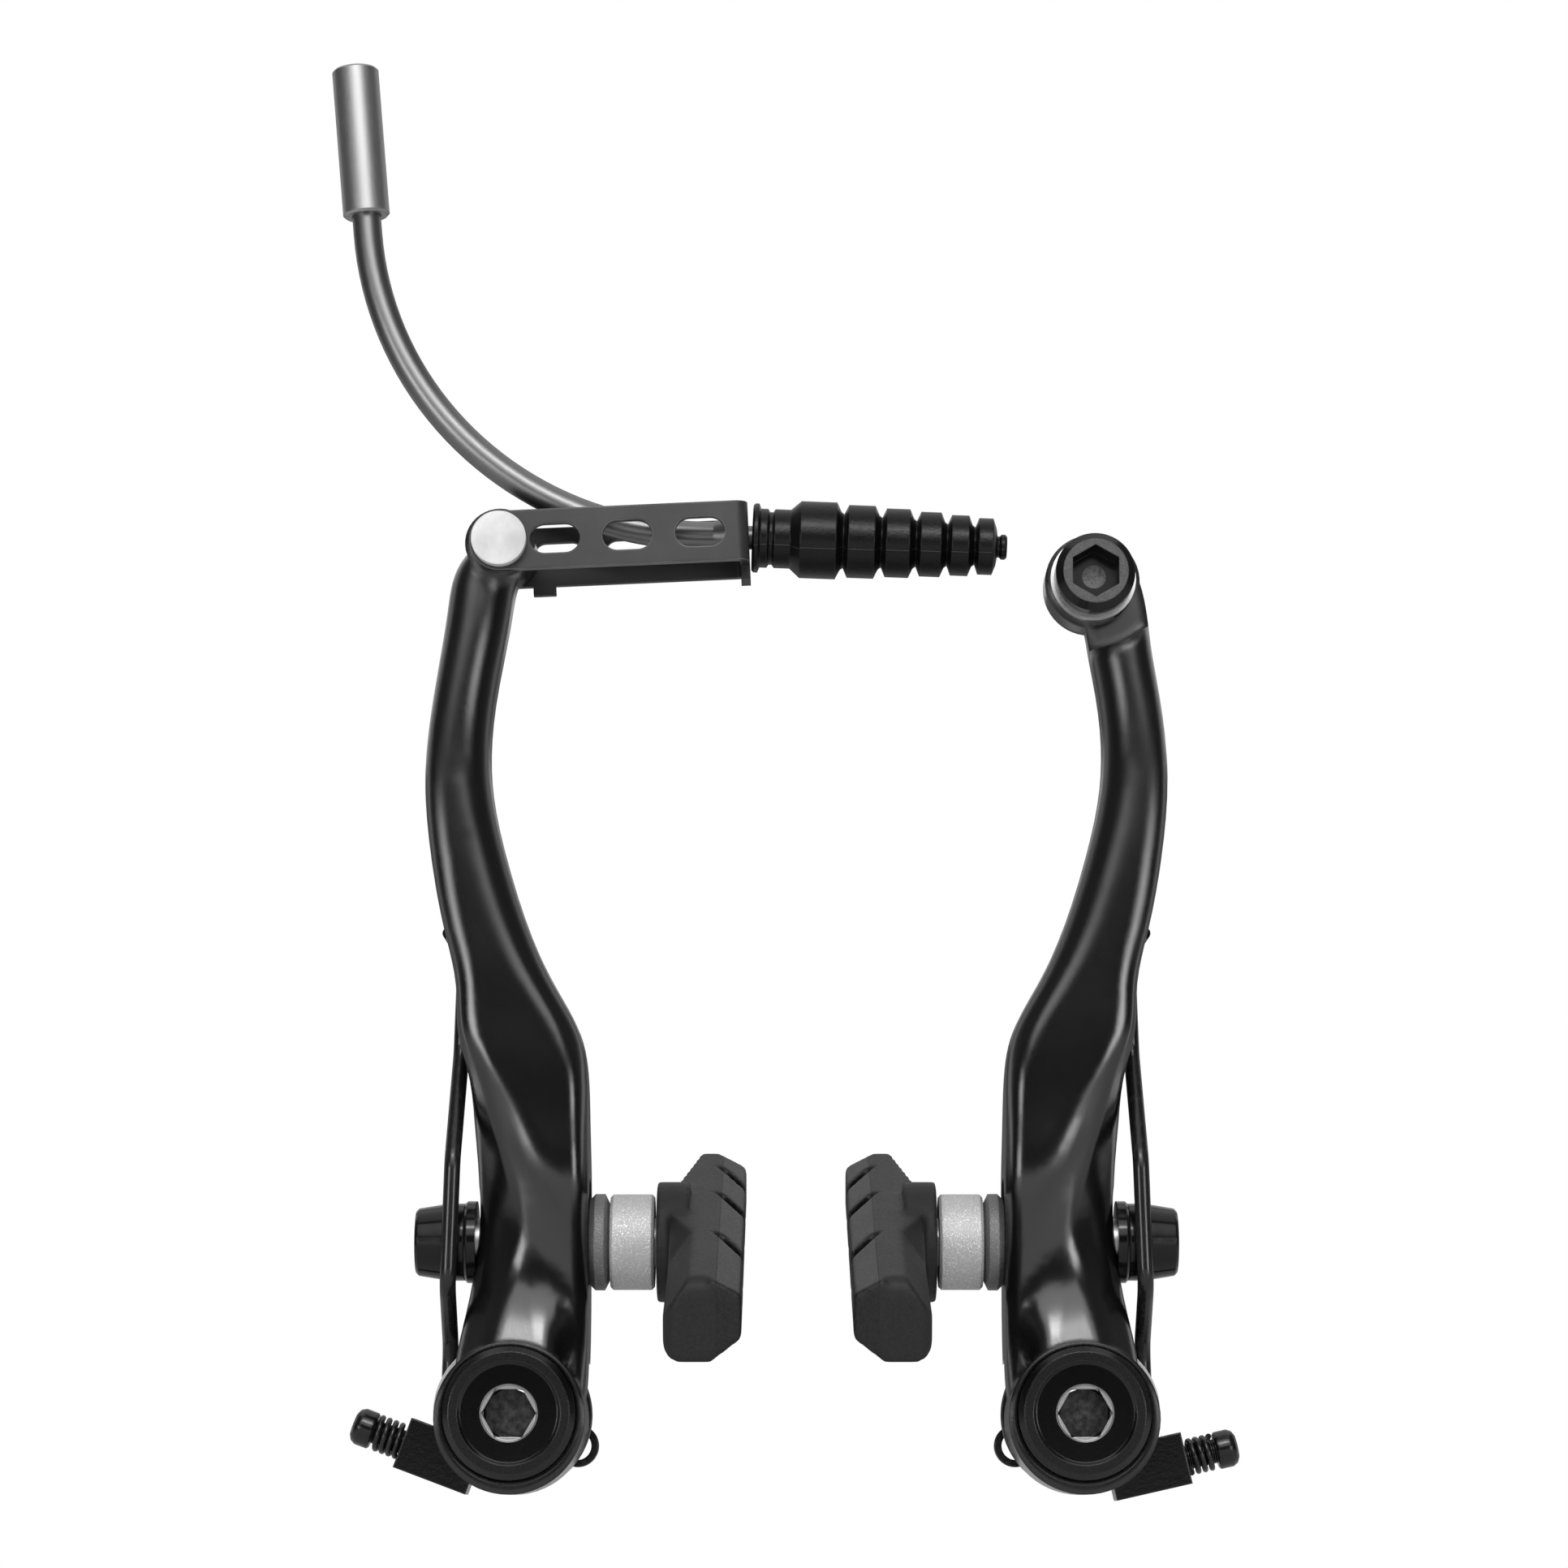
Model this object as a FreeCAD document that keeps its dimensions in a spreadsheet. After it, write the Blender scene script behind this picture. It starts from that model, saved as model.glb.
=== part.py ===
import FreeCAD, Part
import math
import os
import Sketcher

# Pair of linear-pull rim brake arms. +Z is up, the front of the brake faces -Y, and the origin lies
# midway between the two pivots, in the plane where the bushes seat on the frame's brake bosses.
# Lengths are in millimetres and angles in degrees.
dimensions = {
    # pivots and what turns on them
    "pivot_half_span": 35.05,
    "register_radius": 4.1,
    "register_depth": 9.4,
    "bush_radius": 5.5,
    "bush_flange_radius": 8.2,
    "bush_flange_thickness": 1.5,
    "bolt_shank_radius": 3.0,
    "bolt_shank_length": 10.4,
    "bolt_hole_clearance": 0.2,
    "bolt_head_radius": 8.1,
    "bolt_head_thickness": 2.8,
    "bolt_head_dish_radius": 6.3,
    "bolt_head_dish_depth": 0.35,
    "bolt_socket_rim_radius": 3.5,
    "bolt_socket_chamfer": 0.2,
    "bolt_socket_flats": 5.75,
    "bolt_socket_depth": 3.4,
    "running_clearance": 0.06,
    "seat_gap": 0.1,
    "stop_pin_radius": 1.1,
    "stop_pin_grip_radius": 0.85,
    "stop_pin_offset": 6.4,
    "stop_pin_reach": 4.0,
    # spring bracket, its tension screw and the ring in front of the coil
    "bracket_plate_radius": 8.8,
    "bracket_plate_thickness": 2.0,
    "bracket_block_start": 2.5,
    "bracket_block_end": 12.2,
    "bracket_block_height": 6.5,
    "bracket_block_depth": 5.6,
    "bracket_ear_reach": 7.5,
    "bracket_ear_drop": 3.7,
    "bracket_ear_radius": 2.65,
    "bracket_ear_hole_radius": 1.75,
    "left_bracket_tilt": 20.5,
    "right_bracket_tilt": 12.7,
    "screw_axis_drop": 8.1,
    "screw_radius": 1.5,
    "screw_grip": 4.4,
    "screw_head_radius": 2.35,
    "screw_head_length": 2.7,
    "screw_head_soft": 0.35,
    "screw_slot_width": 0.7,
    "screw_slot_depth": 0.9,
    "screw_slot_share": 1.2,
    "screw_spring_length": 4.0,
    "screw_spring_wire_radius": 0.36,
    "screw_spring_turns": 3.5,
    "spring_wire_radius": 1.0,
    "coil_radius": 8.5,
    "coil_turns": 1.25,
    "coil_pitch": 2.1,
    "leg_lean": 1.6,
    "leg_rise": 8.3,
    "leg_front_start": 15.5,
    "leg_front_end": 31.0,
    "leg_back_start": 45.0,
    "leg_past_pin": 1.5,
    "leg_bend_radius": 4.0,
    "leg_arm_gap": 0.45,
    "spring_pin_radius": 0.8,
    "spring_pin_height": 60.0,
    "spring_pin_reach": 3.2,
    "spring_pin_depth": 2.5,
    "ring_radius": 9.0,
    "ring_thickness": 1.1,
    "ring_shift_out": 1.2,
    "ring_shift_up": 0.5,
    # forged arm
    "boss_radius": 9.25,
    "boss_drop": 0.55,
    "boss_length": 12.0,
    "boss_recess_radius": 8.25,
    "boss_recess_depth": 1.45,
    "arm_front": 20.6,
    "arm_edge_round": 1.5,
    "arm_edge_share": 0.47,
    "arm_lip_share": 0.4,
    "arm_lip_drop": 0.7,
    "arm_shoulder_share": 0.75,
    "arm_shoulder_drop": 0.12,
    "arm_ridge_outer_drop": 0.45,
    "eye_offset": 2.35,
    "eye_height": 108.7,
    "eye_above_top": 1.0,
    "eye_radius": 4.4,
    "eye_front": 20.7,
    "eye_thickness": 9.2,
    "clamp_offset": 2.55,
    "clamp_height": 104.7,
    "clamp_above_top": 0.3,
    "clamp_boss_radius": 6.0,
    "clamp_face": 16.2,
    "clamp_boss_thickness": 5.4,
    "clamp_spotface_radius": 9.2,
    # pad, its stud, washers and nut
    "stud_height": 21.4,
    "stud_depth": 11.0,
    "stud_radius": 2.95,
    "stud_slot_length": 5.0,
    "stud_slot_clearance": 0.25,
    "stud_pad_grip": 4.5,
    "stud_nut_margin": 2.2,
    "washer_bore_clearance": 0.15,
    "pad_seat": 9.25,
    "nut_seat": 4.85,
    "dome_radius": 6.0,
    "dome_thickness": 2.6,
    "dome_crown": 0.8,
    "dome_edge": 0.7,
    "cup_radius": 5.95,
    "cup_thickness": 5.5,
    "cup_edge": 0.35,
    "outer_dome_radius": 5.1,
    "outer_dome_thickness": 1.5,
    "outer_cup_radius": 4.8,
    "outer_cup_thickness": 1.5,
    "nut_spotface_margin": 0.4,
    "nut_radius": 4.7,
    "nut_tip_radius": 4.2,
    "nut_length": 4.6,
    "nut_socket_flats": 6.2,
    "nut_socket_depth": 1.9,
    "pad_tilt": 16.5,
    "pad_gap": 0.3,
    "pad_flange_radius": 7.5,
    "pad_flange_thickness": 1.7,
    "pad_front_reach": 40.0,
    "pad_rear_reach": 30.0,
    "pad_height": 10.0,
    "pad_body_thickness": 5.6,
    "pad_tail_thickness": 2.4,
    "pad_corner_round": 2.0,
    "pad_chamfer_width": 3.0,
    "pad_chamfer_height": 4.4,
    "pad_chamfer_end": 15.0,
    "pad_chamfer_tip": 5.0,
    "friction_thickness": 3.6,
    "friction_under_slope": 2.8,
    "friction_top_slope": 1.9,
    "groove_width": 1.4,
    "groove_depth": 3.2,
    "groove_slant": 58.0,
    "groove_place_near": -15.0,
    "groove_place_middle": 7.0,
    "groove_place_far": 22.5,
    # link between the left arm and the guide pipe
    "link_tilt": 2.6,
    "link_reach": 31.4,
    "link_height": 7.6,
    "link_sheet": 1.2,
    "link_side_gap": 0.3,
    "link_bend_radius": 1.7,
    "link_slot_length": 6.3,
    "link_slot_height": 3.8,
    "link_slot_pitch": 9.15,
    "link_slot_count": 3,
    "link_first_slot": 7.0,
    "link_back_slot_height": 3.0,
    "link_back_slot_rise": 0.35,
    "link_tab_place": 5.0,
    "link_tab_width": 2.9,
    "link_tab_drop": 1.2,
    "link_wall_tab_drop": 1.7,
    "link_wall_tab_width": 4.6,
    "link_keyhole_slot": 2.2,
    "rivet_radius": 2.0,
    "rivet_head_radius": 3.45,
    "rivet_head_thickness": 1.5,
    "rivet_tail_radius": 3.0,
    "rivet_tail_thickness": 0.8,
    # guide pipe, its ferrule, liner and bellows boot
    "pipe_radius": 1.85,
    "pipe_bore_radius": 1.15,
    "pipe_bend_radius": 43.6,
    "pipe_lean": 5.2,
    "pipe_droop": 2.2,
    "pipe_rise": 0.25,
    "pipe_tip_run": 2.8,
    "pipe_top_run": 40.7,
    "nose_radius": 1.5,
    "nose_length": 9.0,
    "nose_hole_clearance": 0.25,
    "shoulder_radius": 2.6,
    "shoulder_length": 1.4,
    "shoulder_cone": 1.6,
    "liner_bore_radius": 0.8,
    "liner_clearance": 0.05,
    "ferrule_radius": 3.0,
    "ferrule_length": 19.7,
    "ferrule_bore_radius": 2.6,
    "ferrule_bore_depth": 14.0,
    "ferrule_edge": 0.3,
    "boot_lip_radius": 4.4,
    "boot_lip_width": 0.75,
    "boot_collar_radius": 3.75,
    "boot_collar_length": 4.8,
    "boot_waist_radius": 3.35,
    "boot_waist_start": 1.9,
    "boot_waist_end": 2.8,
    "boot_ease": 0.25,
    "boot_first_radius": 4.9,
    "boot_last_radius": 3.6,
    "boot_first_length": 5.3,
    "boot_last_length": 3.05,
    "boot_sections": 6,
    "boot_groove_depth": 1.2,
    "boot_groove_floor": 0.35,
    "boot_slope": 0.6,
    "boot_slope_shrink": 0.25,
    "boot_cone": 1.3,
    "boot_nub_radius": 1.6,
    "boot_nub_neck_radius": 1.35,
    "boot_nub_length": 1.2,
    "boot_bore_radius": 0.95,
    # cable fixing bolt and its grooved washer on the right arm
    "clamp_washer_radius": 5.4,
    "clamp_washer_thickness": 1.6,
    "clamp_groove_width": 1.8,
    "clamp_groove_depth": 0.7,
    "clamp_bolt_radius": 2.9,
    "clamp_bolt_head_radius": 5.0,
    "clamp_bolt_head_length": 5.0,
    "clamp_bolt_face_radius": 4.05,
    "clamp_bolt_socket_flats": 5.8,
    "clamp_bolt_socket_depth": 4.0,
    "clamp_bolt_tip": 0.8,
}

# Cross-sections of the forging from the pivot upwards. Each row gives the step up from the row below,
# the shift of the middle away from the pivot line, the width, the width of the flat face from the inner
# edge to the crease, the place and width of the ridge, how far the ridge and the inner and outer edges lie
# behind the front plane, how far the back lies in front of the bush's rear plane, and the width of the
# inner lip.
station_columns = ("step", "shift", "width", "flat", "ridge", "ridge_width",
                   "crease_drop", "ridge_drop", "inner_drop", "outer_drop", "back", "lip")
lower_stations = {
    "a": (1.0, -0.05, 17.4, 1.5, 4.2, 8.2, 1.4, -0.6, 3.2, 3.2, 4.8, 0.7),
    "b": (6.5, -1.15, 16.1, 1.6, 4.6, 7.6, 1.9, -0.6, 3.6, 4.0, 4.8, 0.7),
    "c": (3.5, -1.5, 15.5, 1.6, 5.0, 6.6, 2.2, 0.5, 3.6, 4.8, 4.8, 0.7),
    "d": (4.5, -1.95, 14.6, 1.8, 5.8, 4.4, 2.2, 1.6, 3.6, 5.4, 4.8, 0.7),
    "e": (7.0, -2.3, 13.8, 2.3, 7.6, 0.9, 1.2, 1.7, 3.3, 6.0, 4.6, 0.8),
    "f": (6.5, -2.3, 13.8, 4.9, 8.9, 0.8, 0.0, 1.4, 3.0, 6.0, 4.6, 0.8),
    "g": (7.0, -1.93, 14.25, 8.1, 10.9, 0.8, 0.0, 1.0, 2.6, 5.6, 6.0, 0.9),
    "h": (6.0, -1.51, 14.92, 11.4, 12.8, 0.7, 0.0, 0.6, 2.6, 4.6, 9.8, 1.1),
    "i": (5.0, -0.42, 15.24, 12.3, 13.6, 0.7, 0.0, 0.4, 2.7, 3.8, 10.8, 1.5),
    "j": (6.0, 1.34, 12.45, 10.0, 11.1, 0.6, 0.0, 0.4, 2.8, 3.5, 11.0, 1.7),
    "k": (7.0, 3.75, 10.66, 8.3, 9.4, 0.6, 0.0, 0.4, 2.8, 3.4, 11.0, 1.8),
    "l": (9.0, 6.1, 9.44, 6.9, 8.1, 0.6, 0.0, 0.4, 2.8, 3.4, 11.0, 1.8),
    "m": (10.0, 7.59, 8.27, 5.3, 6.6, 0.8, 0.0, 0.3, 2.8, 3.4, 11.0, 1.8),
    "n": (11.0, 6.9, 7.81, 4.4, 5.8, 1.0, 0.0, 0.25, 2.8, 3.6, 11.2, 1.8),
}
left_stations = {
    "left_neck": (11.0, 5.13, 8.1, 4.6, 6.0, 1.0, 0.0, 0.25, 2.8, 3.6, 11.4, 1.8),
    "left_top": (6.7, 2.65, 9.0, 5.2, 6.7, 1.0, 0.1, 0.35, 2.8, 3.6, 11.5, 1.8),
}
right_stations = {
    "right_neck": (6.0, 5.92, 7.92, 4.5, 5.9, 1.0, 0.0, 0.25, 2.8, 3.6, 11.2, 1.8),
    "right_top": (8.0, 3.3, 10.6, 6.8, 8.2, 1.0, 0.0, 0.25, 2.8, 3.6, 11.2, 1.8),
}
for stations in (lower_stations, left_stations, right_stations):
    for place, row in stations.items():
        for column, number in zip(station_columns, row):
            dimensions[f"arm_{column}_{place}"] = number

V = FreeCAD.Vector
doc = FreeCAD.newDocument("RimBrakePair")
sheet = doc.addObject("Spreadsheet::Sheet", "Sizes")
for row, (alias, number) in enumerate(dimensions.items(), start=1):
    sheet.set(f"A{row}", alias)
    sheet.set(f"B{row}", str(number))
    sheet.setAlias(f"B{row}", alias)
doc.recompute()


class Size:
    # A length that carries its number and the sheet expression that gives it.
    def __init__(self, number, text):
        self.number = number
        self.text = text

    def joined(self, other, mark, number):
        return Size(number, f"({self.text} {mark} {other.text})")

    def __add__(self, other):
        other = as_size(other)
        return self.joined(other, "+", self.number + other.number)

    def __sub__(self, other):
        other = as_size(other)
        return self.joined(other, "-", self.number - other.number)

    def __mul__(self, other):
        other = as_size(other)
        return self.joined(other, "*", self.number * other.number)

    def __truediv__(self, other):
        other = as_size(other)
        return self.joined(other, "/", self.number / other.number)

    def __radd__(self, other):
        return as_size(other) + self

    def __rsub__(self, other):
        return as_size(other) - self

    def __rmul__(self, other):
        return as_size(other) * self

    def __neg__(self):
        return as_size(0.0) - self


def as_size(value):
    return value if isinstance(value, Size) else Size(float(value), f"({float(value)})")


def sine(angle):
    return Size(math.sin(math.radians(angle.number)), f"sin({angle.text} * 1 deg)")


def cosine(angle):
    return Size(math.cos(math.radians(angle.number)), f"cos({angle.text} * 1 deg)")


class Sheet:
    def __getattr__(self, alias):
        return Size(float(sheet.get(alias)), "Sizes." + alias)


d = Sheet()
subparts = []

# Directions that a piece's own Z axis is turned to.
to_front = FreeCAD.Rotation(V(1, 0, 0), 90)
to_rear = FreeCAD.Rotation(V(1, 0, 0), -90)


def keep(piece, label):
    piece.Label = label
    subparts.append(piece)
    return piece


def place(piece, x, y, z, rotation=None):
    spot = [as_size(x), as_size(y), as_size(z)]
    turn = rotation if rotation is not None else FreeCAD.Rotation()
    piece.Placement = FreeCAD.Placement(V(*[c.number for c in spot]), turn)
    for axis, c in zip("xyz", spot):
        piece.setExpression(f"Placement.Base.{axis}", c.text)
    return piece


def primitive(kind, name, **sizes):
    piece = doc.addObject("Part::" + kind, name)
    for key, value in sizes.items():
        value = as_size(value)
        setattr(piece, key, value.number)
        piece.setExpression(key, value.text)
    return piece


def cylinder(name, radius, height):
    return primitive("Cylinder", name, Radius=radius, Height=height)


hexagon_sides = 6


def hexagon(name, flats, height):
    half_angle = as_size(180.0 / hexagon_sides)
    prism = primitive("Prism", name, Circumradius=flats / cosine(half_angle) / 2.0, Height=height)
    prism.Polygon = hexagon_sides
    return prism


def fuse(name, pieces):
    whole = doc.addObject("Part::MultiFuse", name)
    whole.Shapes = pieces
    whole.Refine = True
    return whole


def cut(name, base, tools):
    tool = tools[0] if len(tools) == 1 else fuse(name + "Tools", tools)
    rest = doc.addObject("Part::Cut", name)
    rest.Base = base
    rest.Tool = tool
    return rest


def pin_point(sketch, edge, end, x, y):
    # Fixes one end of a sketch edge at two sheet sizes.
    for kind, axis, value in (("DistanceX", -2, as_size(x)), ("DistanceY", -1, as_size(y))):
        if abs(value.number) < 1e-9:
            sketch.addConstraint(Sketcher.Constraint("PointOnObject", edge, end, axis))
        else:
            index = sketch.addConstraint(
                Sketcher.Constraint(kind, -1, 1, edge, end, value.number))
            sketch.setExpression(f"Constraints[{index}]", value.text)


def polygon(sketch, points):
    first = sketch.GeometryCount
    count = len(points)
    spots = [V(as_size(x).number, as_size(y).number, 0) for x, y in points]
    for i in range(count):
        sketch.addGeometry(Part.LineSegment(spots[i], spots[(i + 1) % count]), False)
    for i in range(count):
        sketch.addConstraint(Sketcher.Constraint("Coincident", first + i, 2, first + (i + 1) % count, 1))
    for i, (x, y) in enumerate(points):
        pin_point(sketch, first + i, 1, x, y)


def body_sketch(body, name, role):
    sketch = body.newObject("Sketcher::SketchObject", name)
    support = [f for f in body.Origin.OriginFeatures if f.Role == role][0]
    sketch.AttachmentSupport = [(support, "")]
    sketch.MapMode = "FlatFace"
    return sketch


def turned(name, profile):
    # A piece turned on its own Z axis from a profile of (height along the axis, radius).
    body = doc.addObject("PartDesign::Body", name)
    sketch = body_sketch(body, name + "Profile", "XZ_Plane")
    polygon(sketch, [(radius, height) for height, radius in profile])
    turn = body.newObject("PartDesign::Revolution", name + "Turn")
    turn.Profile = sketch
    turn.ReferenceAxis = (sketch, ["V_Axis"])
    turn.Angle = 360.0
    return body


class Side:
    # One brake arm's side: its name, and the sign that points from the middle of the pair outwards.
    def __init__(self, name, sign, bracket_tilt):
        self.name = name
        self.sign = sign
        self.tilt = bracket_tilt
        self.pivot = d.pivot_half_span * sign

    def label(self, piece):
        return f"{self.name}_{piece}"

    def out(self, distance):
        # The X place that lies this far outwards of the pivot's axis.
        return self.pivot + distance * self.sign


sides = (Side("left", -1, d.left_bracket_tilt), Side("right", 1, d.right_bracket_tilt))

# Places along the pivot, measured forwards from the bush's rear plane.
bracket_back = d.bush_flange_thickness + d.seat_gap
bracket_front = bracket_back + d.bracket_plate_thickness
coil_start = bracket_front + d.seat_gap + d.spring_wire_radius
coil_end = coil_start + d.coil_turns * d.coil_pitch
leg_slope = d.coil_pitch / (d.coil_radius * (2.0 * math.pi))
ring_back = coil_end + leg_slope * d.leg_rise + d.spring_wire_radius + d.seat_gap
ring_front = ring_back + d.ring_thickness
boss_back = ring_front + d.seat_gap
boss_front = boss_back + d.boss_length
recess_floor = boss_front - d.boss_recess_depth
bush_front = recess_floor + d.seat_gap
screw_depth = bracket_back + d.bracket_block_depth / 2.0
# the round room behind the boss for the bracket's plate, the coil and the ring
coil_room_radius = d.ring_radius + d.ring_shift_out + d.ring_shift_up + d.leg_arm_gap


def pivot_bush(side):
    hole = d.bolt_shank_radius + d.bolt_hole_clearance
    bush = turned(side.label("bush_turned"), [
        (0, d.register_radius),
        (0, d.bush_flange_radius),
        (d.bush_flange_thickness, d.bush_flange_radius),
        (d.bush_flange_thickness, d.bush_radius),
        (bush_front, d.bush_radius),
        (bush_front, hole),
        (d.register_depth, hole),
        (d.register_depth, d.register_radius)])
    place(bush, side.pivot, 0, 0, to_front)
    hole = cylinder(side.label("stop_pin_hole"), d.stop_pin_grip_radius, d.bush_flange_thickness)
    place(hole, side.pivot, 0, d.stop_pin_offset, to_front)
    keep(cut(side.label("bush_drilled"), bush, [hole]), side.label("pivot_bush"))
    # a shouldered pin, pressed into the flange from behind
    end = d.bush_flange_thickness + d.stop_pin_reach
    pin = turned(side.label("stop_pin_turned"), [
        (0, 0),
        (0, d.stop_pin_grip_radius),
        (d.bush_flange_thickness, d.stop_pin_grip_radius),
        (d.bush_flange_thickness, d.stop_pin_radius),
        (end, d.stop_pin_radius),
        (end, 0)])
    place(pin, side.pivot, -d.bush_flange_thickness, d.stop_pin_offset, to_rear)
    keep(pin, side.label("stop_pin"))


def pivot_bolt(side):
    under = bush_front
    face = under + d.bolt_head_thickness
    floor = face - d.bolt_head_dish_depth - d.bolt_socket_chamfer
    bolt = turned(side.label("bolt_turned"), [
        (under - d.bolt_shank_length, 0),
        (under - d.bolt_shank_length, d.bolt_shank_radius),
        (under, d.bolt_shank_radius),
        (under, d.bolt_head_radius),
        (face - d.bolt_head_dish_depth * 2.0, d.bolt_head_radius),
        (face, d.bolt_head_radius - d.bolt_head_dish_depth * 2.0),
        (face, d.bolt_head_dish_radius),
        (face - d.bolt_head_dish_depth, d.bolt_head_dish_radius - d.bolt_head_dish_depth),
        (face - d.bolt_head_dish_depth, d.bolt_socket_rim_radius),
        (floor, d.bolt_socket_rim_radius - d.bolt_socket_chamfer),
        (floor, 0)])
    place(bolt, side.pivot, 0, 0, to_front)
    socket = hexagon(side.label("bolt_socket"), d.bolt_socket_flats, d.bolt_socket_depth)
    place(socket, side.pivot, d.bolt_socket_depth - face, 0, to_front)
    keep(cut(side.label("bolt_socketed"), bolt, [socket]), side.label("pivot_bolt"))


def pivot_ring(side):
    ring = cylinder(side.label("ring_disc"), d.ring_radius, d.ring_thickness)
    place(ring, side.out(d.ring_shift_out), -ring_back, d.ring_shift_up, to_front)
    bore = cylinder(side.label("ring_bore"), d.bush_radius + d.running_clearance, d.ring_thickness)
    place(bore, side.pivot, -ring_back, 0, to_front)
    keep(cut(side.label("ring_bored"), ring, [bore]), side.label("pivot_ring"))


def bracket_turn(side):
    # Turns a frame with X along the screw, outwards, to the bracket's tilt on this side.
    tilt = side.tilt.number
    flip = FreeCAD.Rotation(V(0, 0, 1), 0 if side.sign > 0 else 180)
    return FreeCAD.Rotation(V(0, 1, 0), -tilt * side.sign).multiply(flip)


def along_screw(side, reach):
    # The X, Y and Z of a point on the screw's axis, this far out from the pivot's foot on that axis.
    drop = d.screw_axis_drop
    x = side.out(reach * cosine(side.tilt) + drop * sine(side.tilt))
    z = reach * sine(side.tilt) - drop * cosine(side.tilt)
    return x, -screw_depth, z


def spring_bracket(side):
    plate = cylinder(side.label("bracket_plate"), d.bracket_plate_radius, d.bracket_plate_thickness)
    place(plate, side.pivot, -bracket_back, 0, to_front)
    ear = cylinder(side.label("bracket_ear"), d.bracket_ear_radius, d.bracket_plate_thickness)
    place(ear, side.out(-d.bracket_ear_reach), -bracket_back, -d.bracket_ear_drop, to_front)
    block = primitive("Box", side.label("bracket_block"),
                      Length=d.bracket_block_end - d.bracket_block_start,
                      Width=d.bracket_block_depth,
                      Height=d.bracket_block_height)
    low = d.screw_axis_drop + d.bracket_block_height / 2.0
    x = side.out(d.bracket_block_start * cosine(side.tilt) + low * sine(side.tilt))
    z = d.bracket_block_start * sine(side.tilt) - low * cosine(side.tilt)
    near = bracket_back + d.bracket_block_depth if side.sign > 0 else bracket_back
    place(block, x, -near, z, bracket_turn(side))
    bore = cylinder(side.label("bracket_bore"), d.bush_radius + d.running_clearance,
                    d.bracket_plate_thickness)
    place(bore, side.pivot, -bracket_back, 0, to_front)
    coil_bay = cylinder(side.label("bracket_coil_bay"),
                        d.coil_radius + d.spring_wire_radius + d.leg_arm_gap, d.bracket_block_depth)
    place(coil_bay, side.pivot, -bracket_front, 0, to_front)
    ear_hole = cylinder(side.label("bracket_ear_hole"), d.bracket_ear_hole_radius, d.bracket_plate_thickness)
    place(ear_hole, side.out(-d.bracket_ear_reach), -bracket_back, -d.bracket_ear_drop, to_front)
    screw_hole = cylinder(side.label("bracket_screw_hole"), d.screw_radius + d.running_clearance,
                          d.bracket_block_end)
    place(screw_hole, *along_screw(side, as_size(0.0)), axis_out(side))
    whole = fuse(side.label("bracket_whole"), [plate, ear, block])
    keep(cut(side.label("bracket_cut"), whole, [bore, coil_bay, ear_hole, screw_hole]),
         side.label("spring_bracket"))


def axis_out(side):
    # Turns a piece's own Z axis outwards along the tension screw.
    return bracket_turn(side).multiply(FreeCAD.Rotation(V(0, 1, 0), 90))


def tension_screw(side):
    neck = d.bracket_block_end + d.screw_spring_length
    tip = d.bracket_block_end - d.screw_grip
    face = neck + d.screw_head_length
    ease = d.screw_head_length / 3.0
    screw = turned(side.label("screw_turned"), [
        (tip, 0),
        (tip, d.screw_radius - ease / 2.0),
        (tip + ease / 2.0, d.screw_radius),
        (neck, d.screw_radius),
        (neck, d.screw_head_radius - ease / 4.0),
        (neck + ease / 4.0, d.screw_head_radius),
        (face - ease, d.screw_head_radius),
        (face - ease * d.screw_head_soft, d.screw_head_radius - ease * d.screw_head_soft),
        (face, d.screw_head_radius - ease),
        (face, 0)])
    place(screw, *along_screw(side, as_size(0.0)), axis_out(side))
    slots = []
    for turn, name in ((0, "slot"), (90, "cross_slot")):
        length = d.screw_head_radius * d.screw_slot_share
        slot = primitive("Box", side.label("screw_" + name), Length=length,
                         Width=d.screw_slot_width, Height=d.screw_slot_depth)
        spin = axis_out(side).multiply(FreeCAD.Rotation(V(0, 0, 1), turn))
        corner = spin.multVec(V(-length.number / 2.0, -d.screw_slot_width.number / 2.0, 0))
        x, y, z = along_screw(side, face - d.screw_slot_depth)
        place(slot, x + corner.x, y + corner.y, z + corner.z, spin)
        slots.append(slot)
    keep(cut(side.label("screw_slotted"), screw, slots), side.label("tension_screw"))


def screw_spring(side):
    # The small coil that keeps the tension screw from turning by itself.
    wire = d.screw_spring_wire_radius.number
    room = d.screw_spring_length.number - 2.0 * (wire + d.seat_gap.number)
    radius = d.screw_radius.number + wire + d.seat_gap.number
    turns = d.screw_spring_turns.number
    helix = Part.makeHelix(room / turns, room, radius)
    coil = swept(helix.Edges, V(radius, 0, 0), V(0, 1, 0), wire)
    spring = doc.addObject("Part::Feature", side.label("screw_coil"))
    spring.Shape = coil
    start = along_screw(side, d.bracket_block_end + d.seat_gap + d.screw_spring_wire_radius)
    spring.Placement = FreeCAD.Placement(V(*[c.number for c in start]), axis_out(side))
    keep(spring, side.label("screw_spring"))


def swept(edges, start, heading, radius):
    # A round wire along a path of joined edges.
    circle = Part.Wire(Part.Edge(Part.Circle(start, heading, radius)))
    return Part.Wire(edges).makePipeShell([circle], True, False)


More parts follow.
